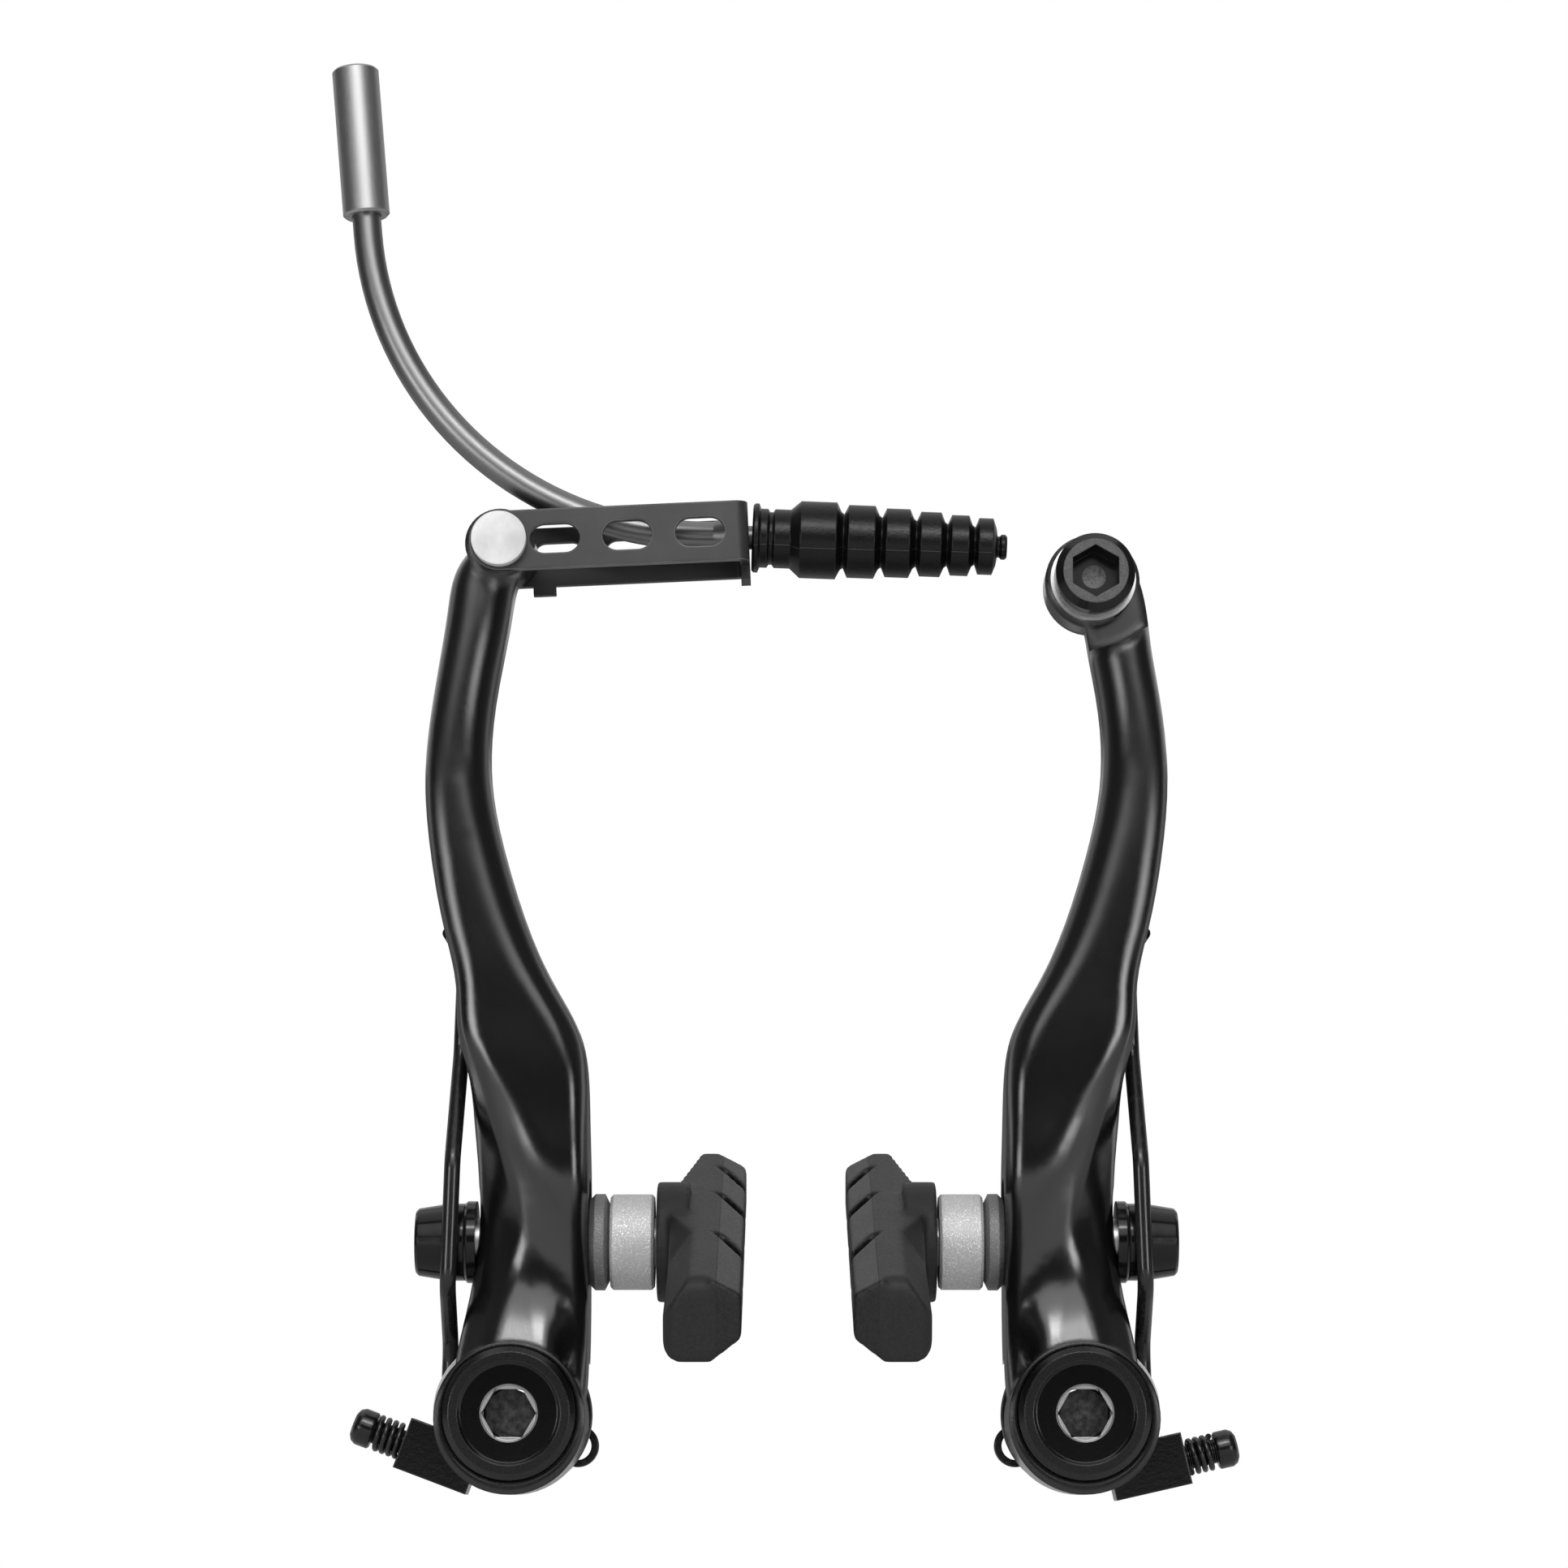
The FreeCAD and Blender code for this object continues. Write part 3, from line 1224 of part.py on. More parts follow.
def cable_clamp():
    washer = turned("clamp_washer_turned", [
        (0, d.clamp_bolt_radius + d.washer_bore_clearance),
        (0, d.clamp_washer_radius),
        (d.clamp_washer_thickness, d.clamp_washer_radius),
        (d.clamp_washer_thickness, d.clamp_bolt_radius + d.washer_bore_clearance)])
    place(washer, clamp_x, -d.clamp_face, d.clamp_height, to_front)
    groove = primitive("Box", "clamp_groove", Length=d.clamp_washer_radius * 2.0,
                       Width=d.clamp_groove_depth, Height=d.clamp_groove_width)
    place(groove, clamp_x - d.clamp_washer_radius, -d.clamp_face - d.clamp_groove_depth,
          d.clamp_height - d.clamp_bolt_radius - d.clamp_groove_width)
    keep(cut("clamp_washer_grooved", washer, [groove]), "clamp_washer")
    under = d.clamp_face + d.clamp_washer_thickness
    face = under + d.clamp_bolt_head_length
    ease = d.clamp_bolt_head_radius - d.clamp_bolt_face_radius
    bolt = turned("clamp_bolt_turned", [
        (d.clamp_face - d.clamp_boss_thickness - d.clamp_bolt_tip, 0),
        (d.clamp_face - d.clamp_boss_thickness - d.clamp_bolt_tip, d.clamp_bolt_radius),
        (under, d.clamp_bolt_radius),
        (under, d.clamp_bolt_head_radius),
        (face - ease, d.clamp_bolt_head_radius),
        (face, d.clamp_bolt_face_radius),
        (face, 0)])
    place(bolt, clamp_x, 0, d.clamp_height, to_front)
    socket = hexagon("clamp_socket", d.clamp_bolt_socket_flats, d.clamp_bolt_socket_depth)
    turn = to_front.multiply(FreeCAD.Rotation(V(0, 0, 1), 180.0 / hexagon_sides))
    place(socket, clamp_x, d.clamp_bolt_socket_depth - face, d.clamp_height, turn)
    keep(cut("clamp_bolt_socketed", bolt, [socket]), "cable_bolt")


for side in sides:
    pivot_bush(side)
    pivot_bolt(side)
    pivot_ring(side)
    spring_bracket(side)
    tension_screw(side)
    screw_spring(side)
    return_spring(side)
    spring_pin(side)
    pad_washers(side)
    pad_nut(side)
    pad(side)
left_arm(left)
right_arm(right)
link_rivet()
link()
noodle()
boot()
cable_clamp()
doc.recompute()

for item in doc.Objects:
    if "Invalid" in item.State or "Error" in item.State:
        raise RuntimeError(f"{item.Label} failed: {item.State}")
for piece in subparts:
    if piece.Shape.isNull() or not piece.Shape.isValid():
        raise RuntimeError(f"{piece.Label} has no valid shape")
os.makedirs("parts", exist_ok=True)
for piece in subparts:
    piece.Shape.exportStep(f"parts/{piece.Label}.step")
    print(f"{piece.Label:24s} {len(piece.Shape.Solids)} solid {piece.Shape.Volume:9.1f} mm3")
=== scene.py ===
import math

import bpy
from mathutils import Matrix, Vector


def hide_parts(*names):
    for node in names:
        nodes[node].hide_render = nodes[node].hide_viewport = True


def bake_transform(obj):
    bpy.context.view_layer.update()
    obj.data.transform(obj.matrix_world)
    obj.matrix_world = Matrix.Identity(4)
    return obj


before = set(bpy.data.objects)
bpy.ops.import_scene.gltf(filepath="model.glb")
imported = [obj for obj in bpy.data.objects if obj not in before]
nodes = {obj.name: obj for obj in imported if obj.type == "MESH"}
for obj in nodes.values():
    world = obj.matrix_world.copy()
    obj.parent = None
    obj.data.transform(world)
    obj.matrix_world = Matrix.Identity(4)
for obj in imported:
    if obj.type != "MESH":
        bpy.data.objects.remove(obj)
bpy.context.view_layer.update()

outward = {"left": -1.0, "right": 1.0}  # the way out along x on each side
mm = 0.001
pivotX = 35.05 * mm  # half the distance between the two pivots
print("frame loaded:", len(nodes), "nodes")


# One shader socket that can be used in Python sums; every sum adds its Math node.
class Wire:
    def __init__(self, shader, socket):
        self.shader = shader
        self.socket = socket

    def math(self, operation, *others):
        values = dict(enumerate((self,) + others))
        return self.shader.node("ShaderNodeMath", {"operation": operation}, values)[0]

    def __add__(self, other):
        return self.math("ADD", other)

    def __radd__(self, other):
        return self.math("ADD", other)

    def __sub__(self, other):
        return self.math("SUBTRACT", other)

    def __rsub__(self, other):
        return self.math("MULTIPLY_ADD", -1.0, other)

    def __mul__(self, other):
        return self.math("MULTIPLY", other)

    def __rmul__(self, other):
        return self.math("MULTIPLY", other)

    def __abs__(self):
        return self.math("ABSOLUTE")

    def root(self):
        return self.math("SQRT")

    def sine(self):
        return self.math("SINE")

    def most(self, other):
        return self.math("MAXIMUM", other)

    def ramp(self, low, high):  # 0 at low, 1 at high, eased between
        settings = {"interpolation_type": "SMOOTHSTEP"}
        values = {0: self, 1: low, 2: high, 3: 0.0, 4: 1.0}
        return self.shader.node("ShaderNodeMapRange", settings, values)[0]

    def fall(self, low, high):  # 1 at low, 0 at high
        return 1 - self.ramp(low, high)


class Shader:
    def __init__(self, tree):
        self.tree = tree
        tree.nodes.clear()

    # adds a node: its type, its settings, then the values or links of its sockets
    def node(self, kind, settings=None, sockets=None):
        made = self.tree.nodes.new(kind)
        for name, value in (settings or {}).items():
            setattr(made, name, value)
        for name, value in (sockets or {}).items():
            if isinstance(value, Wire):
                self.tree.links.new(value.socket, made.inputs[name])
            else:
                made.inputs[name].default_value = value
        return [Wire(self, out) for out in made.outputs]

    def place(self):  # the object's own coordinates, in metres
        return self.node("ShaderNodeTexCoord")[3]

    def axes(self):
        return self.node("ShaderNodeSeparateXYZ", None, {0: self.place()})

    def aroundAxis(self, spotX, spotZ):  # distance from an axis that runs front to back, and the depth
        x, depth, z = self.axes()
        across = abs(x) - spotX
        up = z - spotZ
        return (across * across + up * up).root(), depth

    def noise(self, size, detail=3.0, rough=0.55, stretch=(1.0, 1.0, 1.0)):
        spot = {"Vector": self.place(), "Scale": stretch}
        where = self.node("ShaderNodeMapping", None, spot)[0]
        values = {"Vector": where, "Scale": 1.0 / size, "Detail": detail, "Roughness": rough}
        return self.node("ShaderNodeTexNoise", None, values)[0]

    def cells(self, size):
        values = {"Vector": self.place(), "Scale": 1.0 / size}
        return self.node("ShaderNodeTexVoronoi", None, values)[0]

    def mix(self, factor, a, b):
        return self.node("ShaderNodeMix", {"data_type": "RGBA"}, {0: factor, 6: a, 7: b})[2]

    def blend(self, factor, a, b):  # a mix of two normals
        return self.node("ShaderNodeMix", {"data_type": "VECTOR"}, {0: factor, 4: a, 5: b})[1]

    def rounded(self, radius):  # normals rounded over every edge
        return self.node("ShaderNodeBevel", {"samples": 6}, {"Radius": radius})[0]

    def nearEdge(self, rounded):  # how near an edge is, from how far its normals are turned
        flat = self.node("ShaderNodeNewGeometry")[1]
        dot = {"operation": "DOT_PRODUCT"}
        along = self.node("ShaderNodeVectorMath", dot, {0: rounded, 1: flat})[1]
        return (1 - along).ramp(0.02, 0.18)

    def bump(self, height, strength, distance, normal=None):
        values = {"Height": height, "Strength": strength, "Distance": distance}
        if normal:
            values["Normal"] = normal
        return self.node("ShaderNodeBump", None, values)[0]

    def surface(self, values):
        out = self.node("ShaderNodeBsdfPrincipled", None, values)[0]
        self.node("ShaderNodeOutputMaterial", None, {"Surface": out})


def newMaterial(name):
    material = bpy.data.materials.new(name)
    material.use_nodes = True
    return material, Shader(material.node_tree)


def grey(value):
    return (value, value, value, 1.0)


# satin black paint on the forged arms: fine grain, a little handling wear at the edges,
# and rounder edges on the upper arm
armPaint = {
    "colour": 0.003, "worn": 0.005, "edge": 0.012, "shine": 0.85,
    "roughness": 0.13, "grainRough": 0.06, "cloudRough": 0.04,
    "grain": 0.3 * mm, "cloud": 9.0 * mm, "wear": (0.45, 0.75),
    "round": 0.9 * mm, "softRound": 2.2 * mm, "upperArm": (46.0 * mm, 64.0 * mm),
    "bump": 0.05, "bumpDepth": 0.04 * mm, "cloudBump": 0.3}


def paintedForging():
    look = armPaint
    material, s = newMaterial("satinBlackPaint")
    grain = s.noise(look["grain"], 2.0)
    cloud = s.noise(look["cloud"], 4.0)
    crisp = s.rounded(look["round"])
    upper = s.axes()[2].ramp(*look["upperArm"])
    normal = s.blend(upper, crisp, s.rounded(look["softRound"]))
    paint = s.mix(cloud.ramp(*look["wear"]), grey(look["colour"]), grey(look["worn"]))
    relief = grain + cloud * look["cloudBump"]
    s.surface({
        "Base Color": s.mix(s.nearEdge(crisp) * cloud, paint, grey(look["edge"])),
        "Roughness": look["roughness"] + grain * look["grainRough"] + cloud * look["cloudRough"],
        "Specular IOR Level": look["shine"],
        "Normal": s.bump(relief, look["bump"], look["bumpDepth"], normal)})
    return material


# blackened steel of the nuts, outer washers and spring pins
blackSteel = {
    "colour": 0.003, "patch": 0.0066, "patches": (0.4, 0.8), "edge": 0.02, "edgeWear": 0.6,
    "shine": 0.32, "roughness": 0.11, "fineRough": 0.08, "scratch": 0.35 * mm, "cloud": 3.0 * mm,
    "round": 0.2 * mm, "bump": 0.06, "bumpDepth": 0.04 * mm}


def blackenedSteel():
    look = blackSteel
    material, s = newMaterial("blackenedSteel")
    fine = s.noise(look["scratch"])
    cloud = s.noise(look["cloud"])
    normal = s.rounded(look["round"])
    black = s.mix(cloud.ramp(*look["patches"]), grey(look["colour"]), grey(look["patch"]))
    s.surface({
        "Base Color": s.mix(s.nearEdge(normal) * look["edgeWear"], black, grey(look["edge"])),
        "Roughness": look["roughness"] + fine * look["fineRough"],
        "Specular IOR Level": look["shine"],
        "Normal": s.bump(fine, look["bump"], look["bumpDepth"], normal)})
    return material


# pivot bolts: black dished flange, bright chamfer round the hexagon, black walls, mottled bare floor
pivotBolt = {
    "black": 0.003, "chamfer": 0.4, "bare": 0.09, "dull": 0.03, "patches": (0.3, 0.7),
    "mouth": (3.5 * mm, 3.53 * mm), "face": (-23.2 * mm, -23.0 * mm), "lip": (-22.82 * mm, -22.76 * mm),
    "floor": (-20.2 * mm, -20.1 * mm), "rim": (6.0 * mm, 6.3 * mm),
    "fine": 0.25 * mm, "mottle": 0.9 * mm, "roughness": 0.1, "fineRough": 0.06, "bareRough": 0.26,
    "rimRough": 0.14, "bump": 0.08, "bumpDepth": 0.05 * mm}


def pivotBoltFinish():
    look = pivotBolt
    material, s = newMaterial("pivotBoltBlack")
    radius, depth = s.aroundAxis(pivotX, 0.0)
    fine = s.noise(look["fine"])
    mottle = s.noise(look["mottle"], 4.0, 0.65)
    inside = radius.fall(*look["mouth"]) * depth.ramp(*look["face"])
    floor = inside * depth.ramp(*look["floor"])
    chamfer = inside * depth.fall(*look["lip"])
    rim = radius.ramp(*look["rim"])
    bare = floor.most(chamfer)
    mottled = s.mix(mottle.ramp(*look["patches"]), grey(look["dull"]), grey(look["bare"]))
    metal = s.mix(chamfer, mottled, grey(look["chamfer"]))
    turned = look["roughness"] + fine * look["fineRough"]
    normal = s.rounded(blackSteel["round"])
    s.surface({
        "Base Color": s.mix(bare, grey(look["black"]), metal),
        "Metallic": bare,
        "Roughness": turned + bare * look["bareRough"] + rim * look["rimRough"],
        "Normal": s.bump(fine + mottle * floor, look["bump"], look["bumpDepth"], normal)})
    return material


# cable bolt: black head, rough grey ring on its face, pale disc at the bottom of the socket
cableBolt = {
    "black": 0.004, "ring": 0.11, "disc": 0.2, "speck": 0.05, "x": 37.6 * mm, "z": 104.7 * mm,
    "face": (-22.75 * mm, -22.7 * mm), "ringEdge": (4.1 * mm, 4.2 * mm),
    "floor": (-19.0 * mm, -18.9 * mm), "floorBack": (-18.5 * mm, -18.2 * mm),
    "discEdge": (1.45 * mm, 1.55 * mm), "fine": 0.22 * mm, "cloud": 1.6 * mm,
    "specks": (0.4, 0.65), "speckShare": 0.5, "cloudShare": 0.3, "metal": 0.6,
    "roughness": 0.16, "fineRough": 0.1, "bareRough": 0.34, "bump": 0.12, "bumpDepth": 0.05 * mm}


def cableBoltFinish():
    look = cableBolt
    material, s = newMaterial("cableBoltBlack")
    radius, depth = s.aroundAxis(look["x"], look["z"])
    fine = s.noise(look["fine"])
    cloud = s.noise(look["cloud"])
    ring = depth.fall(*look["face"]) * radius.fall(*look["ringEdge"])
    deep = depth.ramp(*look["floor"]) * depth.fall(*look["floorBack"])
    disc = deep * radius.fall(*look["discEdge"])
    bare = ring.most(disc)
    tone = s.mix(disc, grey(look["ring"]), grey(look["disc"]))
    specks = cloud * look["cloudShare"] + fine.ramp(*look["specks"]) * look["speckShare"]
    speckled = s.mix(specks, tone, grey(look["speck"]))
    normal = s.rounded(blackSteel["round"])
    s.surface({
        "Base Color": s.mix(bare, grey(look["black"]), speckled),
        "Metallic": bare * look["metal"],
        "Roughness": look["roughness"] + fine * look["fineRough"] + bare * look["bareRough"],
        "Specular IOR Level": blackSteel["shine"],
        "Normal": s.bump(fine, look["bump"], look["bumpDepth"], normal)})
    return material


# tension screws: gloss black with a fine rolled thread on the shank
tensionScrew = {
    "tilts": {"left": 20.5, "right": 12.7}, "reach": 8.1 * mm, "depth": -4.4 * mm,
    "shank": (1.5 * mm, 1.6 * mm), "pitch": 0.5 * mm, "fine": 0.3 * mm, "round": 0.5 * mm,
    "edgeWear": 0.4, "fineWear": 0.2, "roughness": 0.11, "fineRough": 0.08, "fineBump": 0.1,
    "bump": 0.5, "bumpDepth": 0.12 * mm}


def tensionScrewFinish(side):
    look = tensionScrew
    material, s = newMaterial(side + "ScrewBlack")
    tilt = math.radians(look["tilts"][side])
    x, y, z = s.axes()
    out = x * outward[side] - pivotX
    along = out * math.cos(tilt) + z * math.sin(tilt)
    off = z * math.cos(tilt) - out * math.sin(tilt) + look["reach"]
    deep = y - look["depth"]
    shank = (off * off + deep * deep).root().fall(*look["shank"])
    thread = (along * (2.0 * math.pi / look["pitch"])).sine()
    fine = s.noise(look["fine"])
    normal = s.rounded(look["round"])
    wear = s.nearEdge(normal) * look["edgeWear"] + fine * look["fineWear"]
    relief = thread * shank + fine * look["fineBump"]
    s.surface({
        "Base Color": s.mix(wear, grey(blackSteel["colour"]), grey(blackSteel["edge"])),
        "Roughness": look["roughness"] + fine * look["fineRough"],
        "Normal": s.bump(relief, look["bump"], look["bumpDepth"], normal)})
    return material


# gloss black spring wire with faint drawing marks
springWire = {
    "colour": 0.006, "mark": 0.018, "marks": (0.4, 0.8), "size": 0.5 * mm, "stretch": (1.0, 1.0, 0.06),
    "roughness": 0.17, "markRough": 0.16, "bump": 0.08, "bumpDepth": 0.03 * mm}


def springBlack():
    look = springWire
    material, s = newMaterial("springWireBlack")
    drawn = s.noise(look["size"], 3.0, 0.6, look["stretch"])
    s.surface({
        "Base Color": s.mix(drawn.ramp(*look["marks"]), grey(look["colour"]), grey(look["mark"])),
        "Roughness": look["roughness"] + drawn * look["markRough"],
        "Normal": s.bump(drawn, look["bump"], look["bumpDepth"])})
    return material


# blasted washers: tiny glints in a soft metal
washers = {
    "silver": 0.6, "grey": 0.2, "dark": 0.72, "bright": 1.45, "metal": 0.35,
    "grit": 0.24 * mm, "fine": 0.168 * mm,
    "cloud": 4.0 * mm, "glints": (0.52, 0.7), "glintShare": 0.75, "cloudShare": 0.25,
    "roughness": 0.55, "glintGloss": 0.25, "round": 0.25 * mm, "bump": 0.6, "bumpDepth": 0.07 * mm}


def blastedMetal(name, value):
    look = washers
    material, s = newMaterial(name)
    grit = s.cells(look["grit"])
    fine = s.noise(look["fine"], 2.0)
    cloud = s.noise(look["cloud"])
    glint = fine.ramp(*look["glints"])
    share = glint * look["glintShare"] + cloud * look["cloudShare"]
    normal = s.rounded(look["round"])
    s.surface({
        "Base Color": s.mix(share, grey(value * look["dark"]), grey(value * look["bright"])),
        "Metallic": look["metal"],
        "Roughness": look["roughness"] - glint * look["glintGloss"],
        "Normal": s.bump(grit + fine, look["bump"], look["bumpDepth"], normal)})
    return material


# bare steel and aluminium with lathe or drawing marks
turned = {
    "dark": 0.88, "bright": 1.1, "cloud": 6.0 * mm, "lineShare": 0.6, "cloudShare": 0.4,
    "bump": 0.03, "bumpDepth": 0.01 * mm}
turnedPieces = {
    "pipe": {"name": "drawnSteelTube", "grey": 0.2, "roughness": 0.34, "marks": 0.05,
             "size": 4.0 * mm, "stretch": (1.0, 1.0, 1.0)},
    "ferrule": {"name": "satinAluminium", "grey": 0.36, "roughness": 0.34, "marks": 0.14,
                "size": 0.3 * mm, "stretch": (1.0, 1.0, 0.3)},
    "washer": {"name": "brightWasher", "grey": 0.85, "roughness": 0.26, "marks": 0.14,
               "size": 0.5 * mm, "stretch": (1.0, 1.0, 1.0)},
    "steel": {"name": "plainSteel", "grey": 0.5, "roughness": 0.32, "marks": 0.14,
              "size": 0.4 * mm, "stretch": (1.0, 0.3, 1.0)},
}


def turnedMetal(piece):
    material, s = newMaterial(piece["name"])
    lines = s.noise(piece["size"], 3.0, 0.6, piece["stretch"])
    cloud = s.noise(turned["cloud"])
    share = lines * turned["lineShare"] + cloud * turned["cloudShare"]
    dark = piece["grey"] * turned["dark"]
    bright = piece["grey"] * turned["bright"]
    s.surface({
        "Base Color": s.mix(share, grey(dark), grey(bright)),
        "Metallic": 1.0,
        "Roughness": piece["roughness"] + lines * piece["marks"],
        "Normal": s.bump(lines, turned["bump"], turned["bumpDepth"])})
    return material


# the boot's parting line runs along its front, a little below the middle
bootSeam = {
    "start": Vector((-6.04, -16.1, 110.37)) * mm, "droop": 2.2, "below": 0.43,
    "line": (0.035 * mm, 0.105 * mm), "front": (-0.2 * mm, 0.0), "height": 6.0, "pale": 6.0, "share": 0.5}


def mouldSeam(s, seam):
    x, y, z = s.axes()
    up = z - seam["start"].z + (x - seam["start"].x) * math.tan(math.radians(seam["droop"]))
    forward = y - seam["start"].y
    radius = (up * up + forward * forward).root()
    fromLine = abs(up + radius * seam["below"])
    return forward.fall(*seam["front"]) * fromLine.fall(*seam["line"])


# moulded plastic and rubber; edges are a little paler where they are handled
moulding = {
    "cloud": 7.0 * mm, "patches": (0.35, 0.75), "patchPale": 1.5, "poreSize": 2.2, "poreBump": 0.5,
    "handled": (0.2, 0.6), "fineRough": 0.12, "cloudGloss": 0.06, "round": 0.3 * mm, "bumpDepth": 0.06 * mm}
mouldedPieces = {
    "rivet": {"name": "whiteRivet", "grey": 0.5, "edge": 0.7, "roughness": 0.4, "shine": 0.5,
              "grain": 0.4 * mm, "bump": 0.08},
    "ring": {"name": "paleGreyRing", "grey": 0.4, "edge": 0.64, "roughness": 0.4, "shine": 0.5,
             "grain": 0.3 * mm, "bump": 0.1},
    "bracket": {"name": "bracketPlastic", "grey": 0.003, "edge": 0.012, "roughness": 0.15, "shine": 0.5,
                "grain": 0.3 * mm, "bump": 0.12},
    "liner": {"name": "linerPlastic", "grey": 0.7, "edge": 1.12, "roughness": 0.45, "shine": 0.5,
              "grain": 0.3 * mm, "bump": 0.08},
    "boot": {"name": "bootRubber", "grey": 0.002, "edge": 0.005, "roughness": 0.27, "shine": 0.25,
             "grain": 0.26 * mm, "bump": 0.4, "seam": bootSeam},
}


def moulded(piece):
    material, s = newMaterial(piece["name"])
    value = piece["grey"]
    fine = s.noise(piece["grain"])
    pores = s.cells(piece["grain"] * moulding["poreSize"])
    cloud = s.noise(moulding["cloud"], 4.0)
    normal = s.rounded(moulding["round"])
    base = s.mix(cloud.ramp(*moulding["patches"]), grey(value), grey(value * moulding["patchPale"]))
    relief = fine + pores * moulding["poreBump"]
    if "seam" in piece:
        seam = piece["seam"]
        line = mouldSeam(s, seam)
        relief = relief + line * seam["height"]
        base = s.mix(line * seam["share"], base, grey(value * seam["pale"]))
    wear = s.nearEdge(normal) * cloud.ramp(*moulding["handled"])
    s.surface({
        "Base Color": s.mix(wear, base, grey(piece["edge"])),
        "Roughness": piece["roughness"] + fine * moulding["fineRough"] - cloud * moulding["cloudGloss"],
        "Specular IOR Level": piece["shine"],
        "Normal": s.bump(relief, piece["bump"], moulding["bumpDepth"], normal)})
    return material


# brake pads: grainy moulded body, smoother friction block, a fine joint line between them
padSet = {
    "body": 0.009, "block": 0.006, "speck": 0.0198, "shine": 0.3, "roughness": 0.46, "bodyRough": 0.08,
    "speckRough": 0.1, "cloudGloss": 0.06, "joint": 9.4 * mm, "step": (-0.1 * mm, 0.1 * mm),
    "line": (0.04 * mm, 0.12 * mm), "lineDepth": 3.0, "grain": 0.32 * mm, "pores": 0.512 * mm,
    "poreBump": 0.5, "cloud": 6.0 * mm, "specks": (0.38, 0.66), "speckShare": 0.5, "cloudShare": 0.3,
    "bump": 0.5, "bumpDepth": 0.06 * mm, "voxel": 0.36 * mm, "relax": 0.5, "rounds": 9}


def padRubber():
    look = padSet
    material, s = newMaterial("padRubber")
    across = abs(s.axes()[0]) - look["joint"]
    body = across.ramp(*look["step"])
    line = abs(across).fall(*look["line"])
    fine = s.noise(look["grain"], 3.0, 0.65)
    pores = s.cells(look["pores"])
    cloud = s.noise(look["cloud"], 4.0)
    speck = fine.ramp(*look["specks"])
    share = speck * look["speckShare"] + cloud * look["cloudShare"]
    rubber = s.mix(body, grey(look["block"]), grey(look["body"]))
    dull = look["roughness"] + body * look["bodyRough"] + speck * look["speckRough"]
    relief = fine + pores * look["poreBump"] - line * look["lineDepth"]
    s.surface({
        "Base Color": s.mix(share, rubber, grey(look["speck"])),
        "Roughness": dull - cloud * look["cloudGloss"],
        "Specular IOR Level": look["shine"],
        "Normal": s.bump(relief, look["bump"], look["bumpDepth"])})
    return material


def roundMoulding(node):  # moulded corners of a pad are round
    shell = node.modifiers.new("shell", "REMESH")
    shell.mode = "VOXEL"
    shell.voxel_size = padSet["voxel"]
    shell.use_smooth_shade = True
    relax = node.modifiers.new("relax", "SMOOTH")
    relax.factor = padSet["relax"]
    relax.iterations = padSet["rounds"]


# the link's sheet: grey coat on the front plate, painted shade behind it (the sheet inside the cradle
# coloured near black, and duller there), worn as the mouldings are
linkSheet = {
    "grey": 0.026, "patch": 0.0364, "edge": 0.2, "inside": 0.003, "front": (-21.0 * mm, -20.2 * mm),
    "grain": 0.22 * mm, "roughness": 0.26, "fineRough": 0.12, "insideRough": 0.2, "bump": 0.1}


def coatedSheet():
    look = linkSheet
    material, s = newMaterial("darkGreySheet")
    # inside: painted shade, the sheet behind the front plate is coloured near black
    inside = s.axes()[1].ramp(*look["front"])
    fine = s.noise(look["grain"])
    cloud = s.noise(moulding["cloud"], 4.0)
    normal = s.rounded(moulding["round"])
    wear = s.nearEdge(normal) * cloud.ramp(*moulding["handled"])
    coat = s.mix(cloud.ramp(*moulding["patches"]), grey(look["grey"]), grey(look["patch"]))
    coat = s.mix(wear, coat, grey(look["edge"]))
    s.surface({
        "Base Color": s.mix(inside, coat, grey(look["inside"])),
        "Roughness": look["roughness"] + fine * look["fineRough"] + inside * look["insideRough"],
        "Normal": s.bump(fine, look["bump"], moulding["bumpDepth"], normal)})
    return material


finishes = {
    "arm": paintedForging(),
    "boltBlack": blackenedSteel(),
    "pivotBolt": pivotBoltFinish(),
    "cableBolt": cableBoltFinish(),
    "wire": springBlack(),
    "silverWasher": blastedMetal("blastedSilver", washers["silver"]),
    "greyWasher": blastedMetal("blastedGrey", washers["grey"]),
    "link": coatedSheet(),
    "pad": padRubber(),
}
for key, piece in turnedPieces.items():
    finishes[key] = turnedMetal(piece)
for key, piece in mouldedPieces.items():
    finishes[key] = moulded(piece)
for side in outward:
    finishes[side + "Screw"] = tensionScrewFinish(side)
print("materials ready")

# which finish each node takes
pairFinish = {
    "arm": "arm", "pivot_bush": "steel", "stop_pin": "steel", "pivot_bolt": "pivotBolt",
    "pivot_ring": "ring", "spring_bracket": "bracket", "screw_spring": "wire", "return_spring": "wire",
    "spring_pin": "boltBlack", "pad_dome_washer": "greyWasher", "pad_cup_washer": "silverWasher",
    "outer_dome_washer": "boltBlack", "outer_cup_washer": "boltBlack", "pad_nut": "boltBlack",
    "pad_stud": "steel", "pad": "pad"}
singleFinish = {
    "link_rivet": "rivet", "link": "link", "guide_pipe": "pipe", "guide_liner": "liner",
    "guide_ferrule": "ferrule", "cable_boot": "boot", "clamp_washer": "washer", "cable_bolt": "cableBolt",
    "left_tension_screw": "leftScrew", "right_tension_screw": "rightScrew"}


def dress(name, finish):
    piece = nodes[name]
    piece.data.materials.clear()
    piece.data.materials.append(finishes[finish])


for side in outward:
    for piece, finish in pairFinish.items():
        dress(f"{side}_{piece}", finish)
    roundMoulding(nodes[side + "_pad"])
for piece, finish in singleFinish.items():
    dress(piece, finish)
print("nodes dressed")


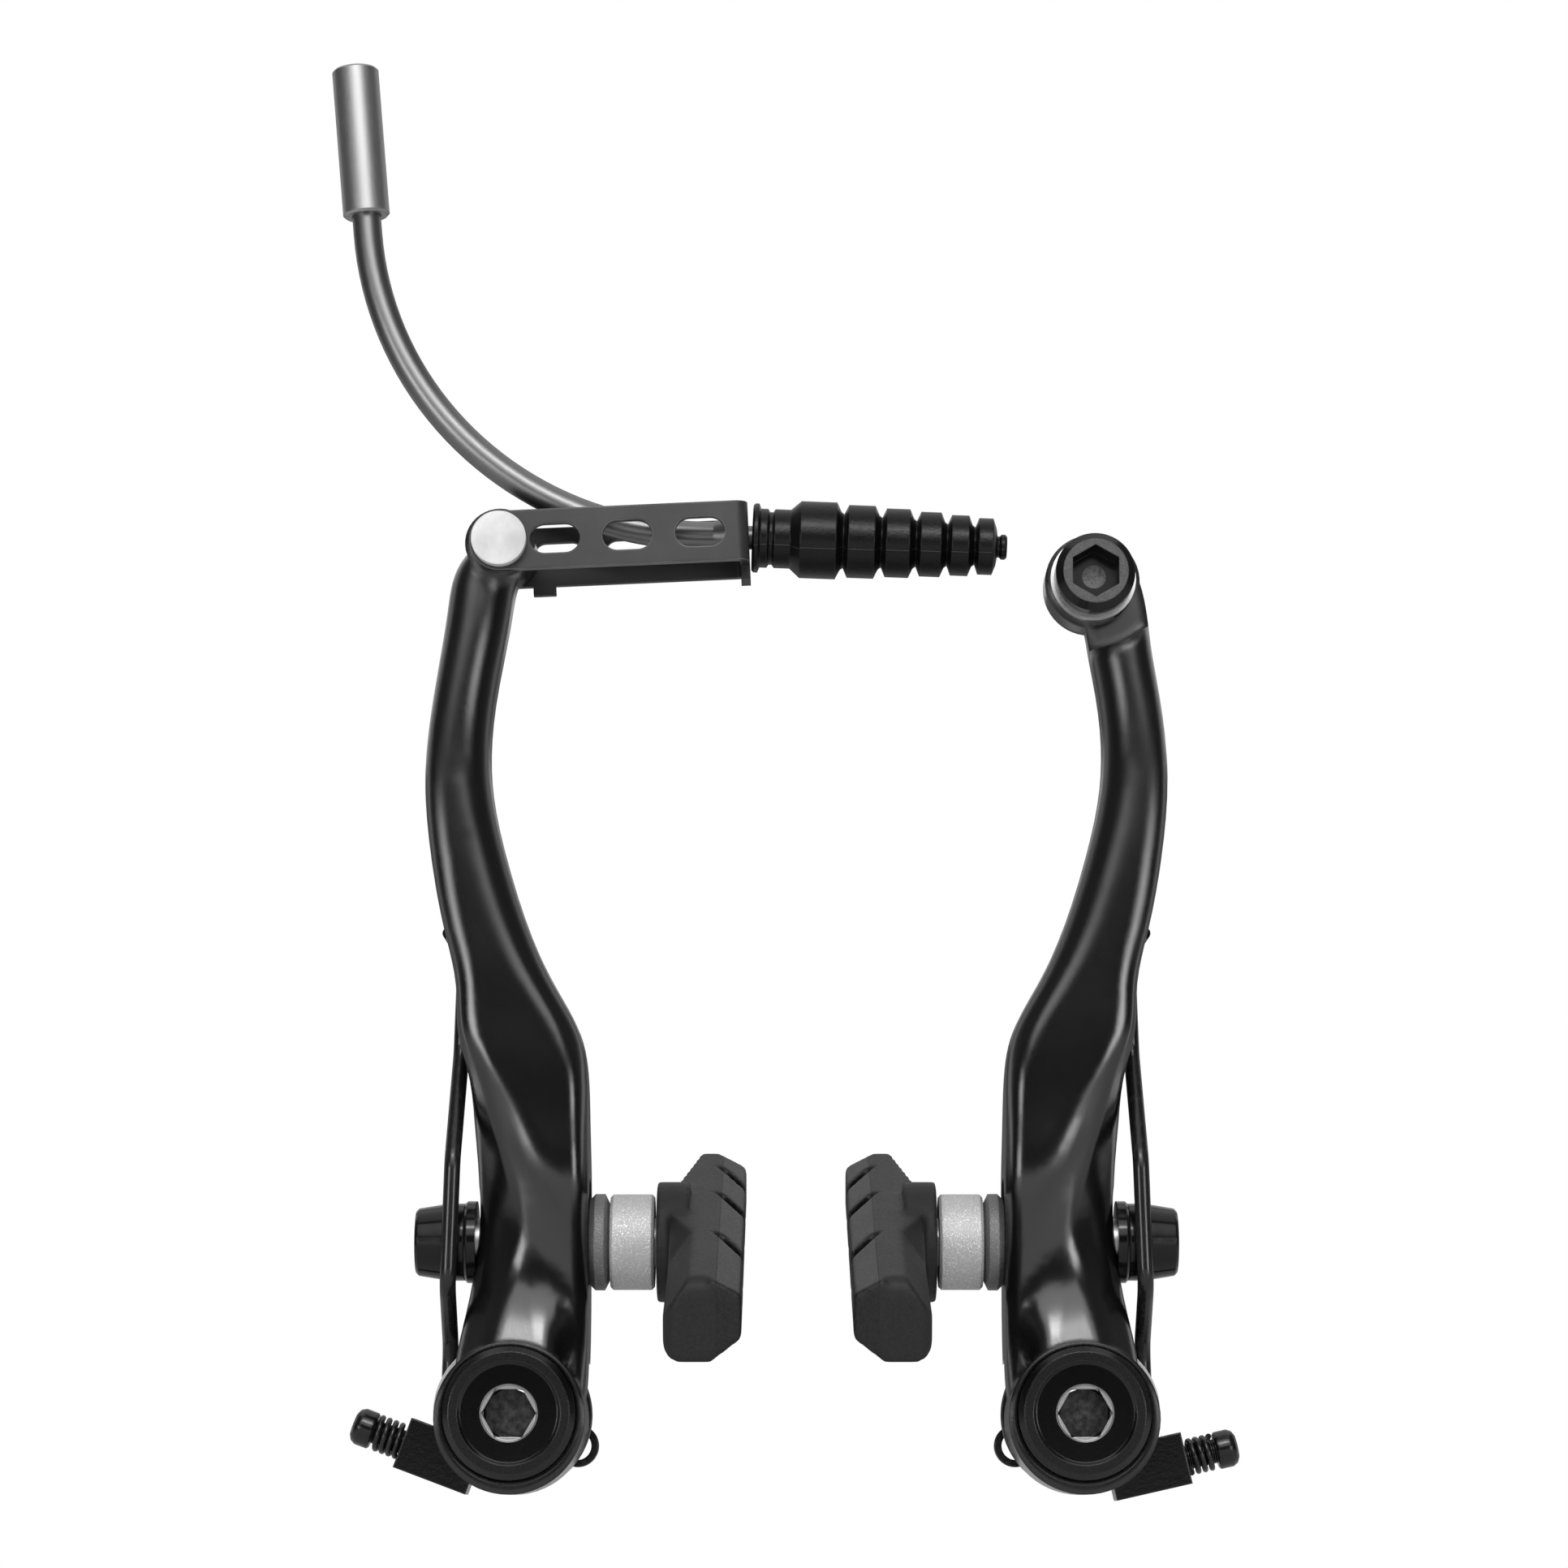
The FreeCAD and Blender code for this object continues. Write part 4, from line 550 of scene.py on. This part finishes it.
def bendingSpring(side):
    node = nodes[side + "_return_spring"]
    wire = bpy.data.objects.new(side + "SpringWire", node.data.copy())
    bpy.context.collection.objects.link(wire)
    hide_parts(node.name)
    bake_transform(wire)


for side in outward:
    bendingSpring(side)
print("springs ready")

# camera at the photograph's viewing angle, looking a little upwards
cameraSet = {
    "place": (-0.00157, -0.55771, -0.01056), "rise": 9.35, "lens": 100.0, "sensor": 36.0, "near": 0.01}
camera = bpy.data.objects.new("camera", bpy.data.cameras.new("camera"))
camera.data.lens = cameraSet["lens"]
camera.data.sensor_width = cameraSet["sensor"]
camera.data.clip_start = cameraSet["near"]
camera.location = cameraSet["place"]
camera.rotation_euler = (math.radians(90.0 + cameraSet["rise"]), 0.0, 0.0)
bpy.context.collection.objects.link(camera)
bpy.context.scene.camera = camera

# softboxes: place, aim, width, height, watts
softboxes = {
    "main": ((0.0, -0.613, 0.51), (0.0, 0.0, 0.08), 0.75, 0.62, 2.9),
    "strip": ((0.0, -0.63, 0.53), (0.0, 0.0, 0.03), 0.36, 0.07, 1.3),
    "top": ((0.0, 0.1, 0.75), (0.0, 0.0, 0.06), 0.9, 0.8, 1.7),
    "rear": ((0.0, 0.7, 0.45), (0.0, 0.0, 0.05), 0.9, 0.5, 0.8),
    "leftLow": ((-0.43, -0.55, 0.05), (0.0, 0.0, 0.03), 0.24, 0.2, 1.0),
    "rightLow": ((0.43, -0.55, 0.05), (0.0, 0.0, 0.03), 0.24, 0.2, 1.0),
    "leftRear": ((-0.5, 0.4, 0.15), (0.0, 0.0, 0.06), 0.2, 0.7, 0.3),
    "rightRear": ((0.5, 0.4, 0.15), (0.0, 0.0, 0.06), 0.2, 0.7, 0.3),
}


def softbox(name, spot, aim, width, height, watts):
    lamp = bpy.data.lights.new(name, "AREA")
    lamp.shape = "RECTANGLE"
    lamp.size = width
    lamp.size_y = height
    lamp.energy = watts
    holder = bpy.data.objects.new(name, lamp)
    holder.location = spot
    holder.rotation_euler = (Vector(aim) - Vector(spot)).to_track_quat("-Z", "Y").to_euler()
    bpy.context.collection.objects.link(holder)


for name, values in softboxes.items():
    softbox(name, *values)

# white surroundings for the camera; reflections see them dimmed, as between black cards, darkest in front
surround = {
    "ambient": 0.08, "frontReflection": 0.02, "upperReflection": 0.1, "rearReflection": 0.15,
    "upwards": (0.0, 0.6), "rearwards": (-0.6, 0.3)}


def studioWorld():
    world = bpy.data.worlds.new("studio")
    bpy.context.scene.world = world
    world.use_nodes = True
    s = Shader(world.node_tree)
    ray = s.node("ShaderNodeLightPath")
    isCamera, isGlossy, isThrough = ray[0], ray[3], ray[6]
    way = s.node("ShaderNodeTexCoord")[0]
    x, y, z = s.node("ShaderNodeSeparateXYZ", None, {0: way})
    behind = y.ramp(*surround["rearwards"])
    front = surround["frontReflection"] + z.ramp(*surround["upwards"]) * surround["upperReflection"]
    shine = front * (1 - behind) + behind * surround["rearReflection"]
    seen = isCamera.most(isThrough)
    mirrored = isGlossy * (1 - seen)
    level = seen + mirrored * shine + (1 - seen.most(mirrored)) * surround["ambient"]
    light = s.node("ShaderNodeBackground", None, {"Color": grey(1.0), "Strength": level})[0]
    s.node("ShaderNodeOutputWorld", None, {"Surface": light})


studioWorld()

# pale floor below the held brake, fading to the white surroundings
floorSet = {"height": -0.028, "half": 0.9, "colour": 0.82, "fade": (0.2, 0.6)}


def paleFloor():
    half = floorSet["half"]
    corners = [(-half, -half, 0.0), (half, -half, 0.0), (half, half, 0.0), (-half, half, 0.0)]
    mesh = bpy.data.meshes.new("floor")
    mesh.from_pydata(corners, [], [(0, 1, 2, 3)])
    floor = bpy.data.objects.new("floor", mesh)
    floor.location = (0.0, 0.0, floorSet["height"])
    bpy.context.collection.objects.link(floor)
    material, s = newMaterial("paleFloor")
    x, y, z = s.axes()
    away = (x * x + y * y).root().ramp(*floorSet["fade"])
    isCamera = s.node("ShaderNodeLightPath")[0]
    card = s.node("ShaderNodeBsdfDiffuse", None, {"Color": grey(floorSet["colour"])})[0]
    white = s.node("ShaderNodeEmission", None, {"Color": grey(1.0), "Strength": 1.0})[0]
    mixed = s.node("ShaderNodeMixShader", None, {0: away * isCamera, 1: card, 2: white})[0]
    s.node("ShaderNodeOutputMaterial", None, {"Surface": mixed})
    mesh.materials.append(material)


paleFloor()
bpy.context.scene.view_settings.view_transform = "Standard"
print("stage and lights ready")
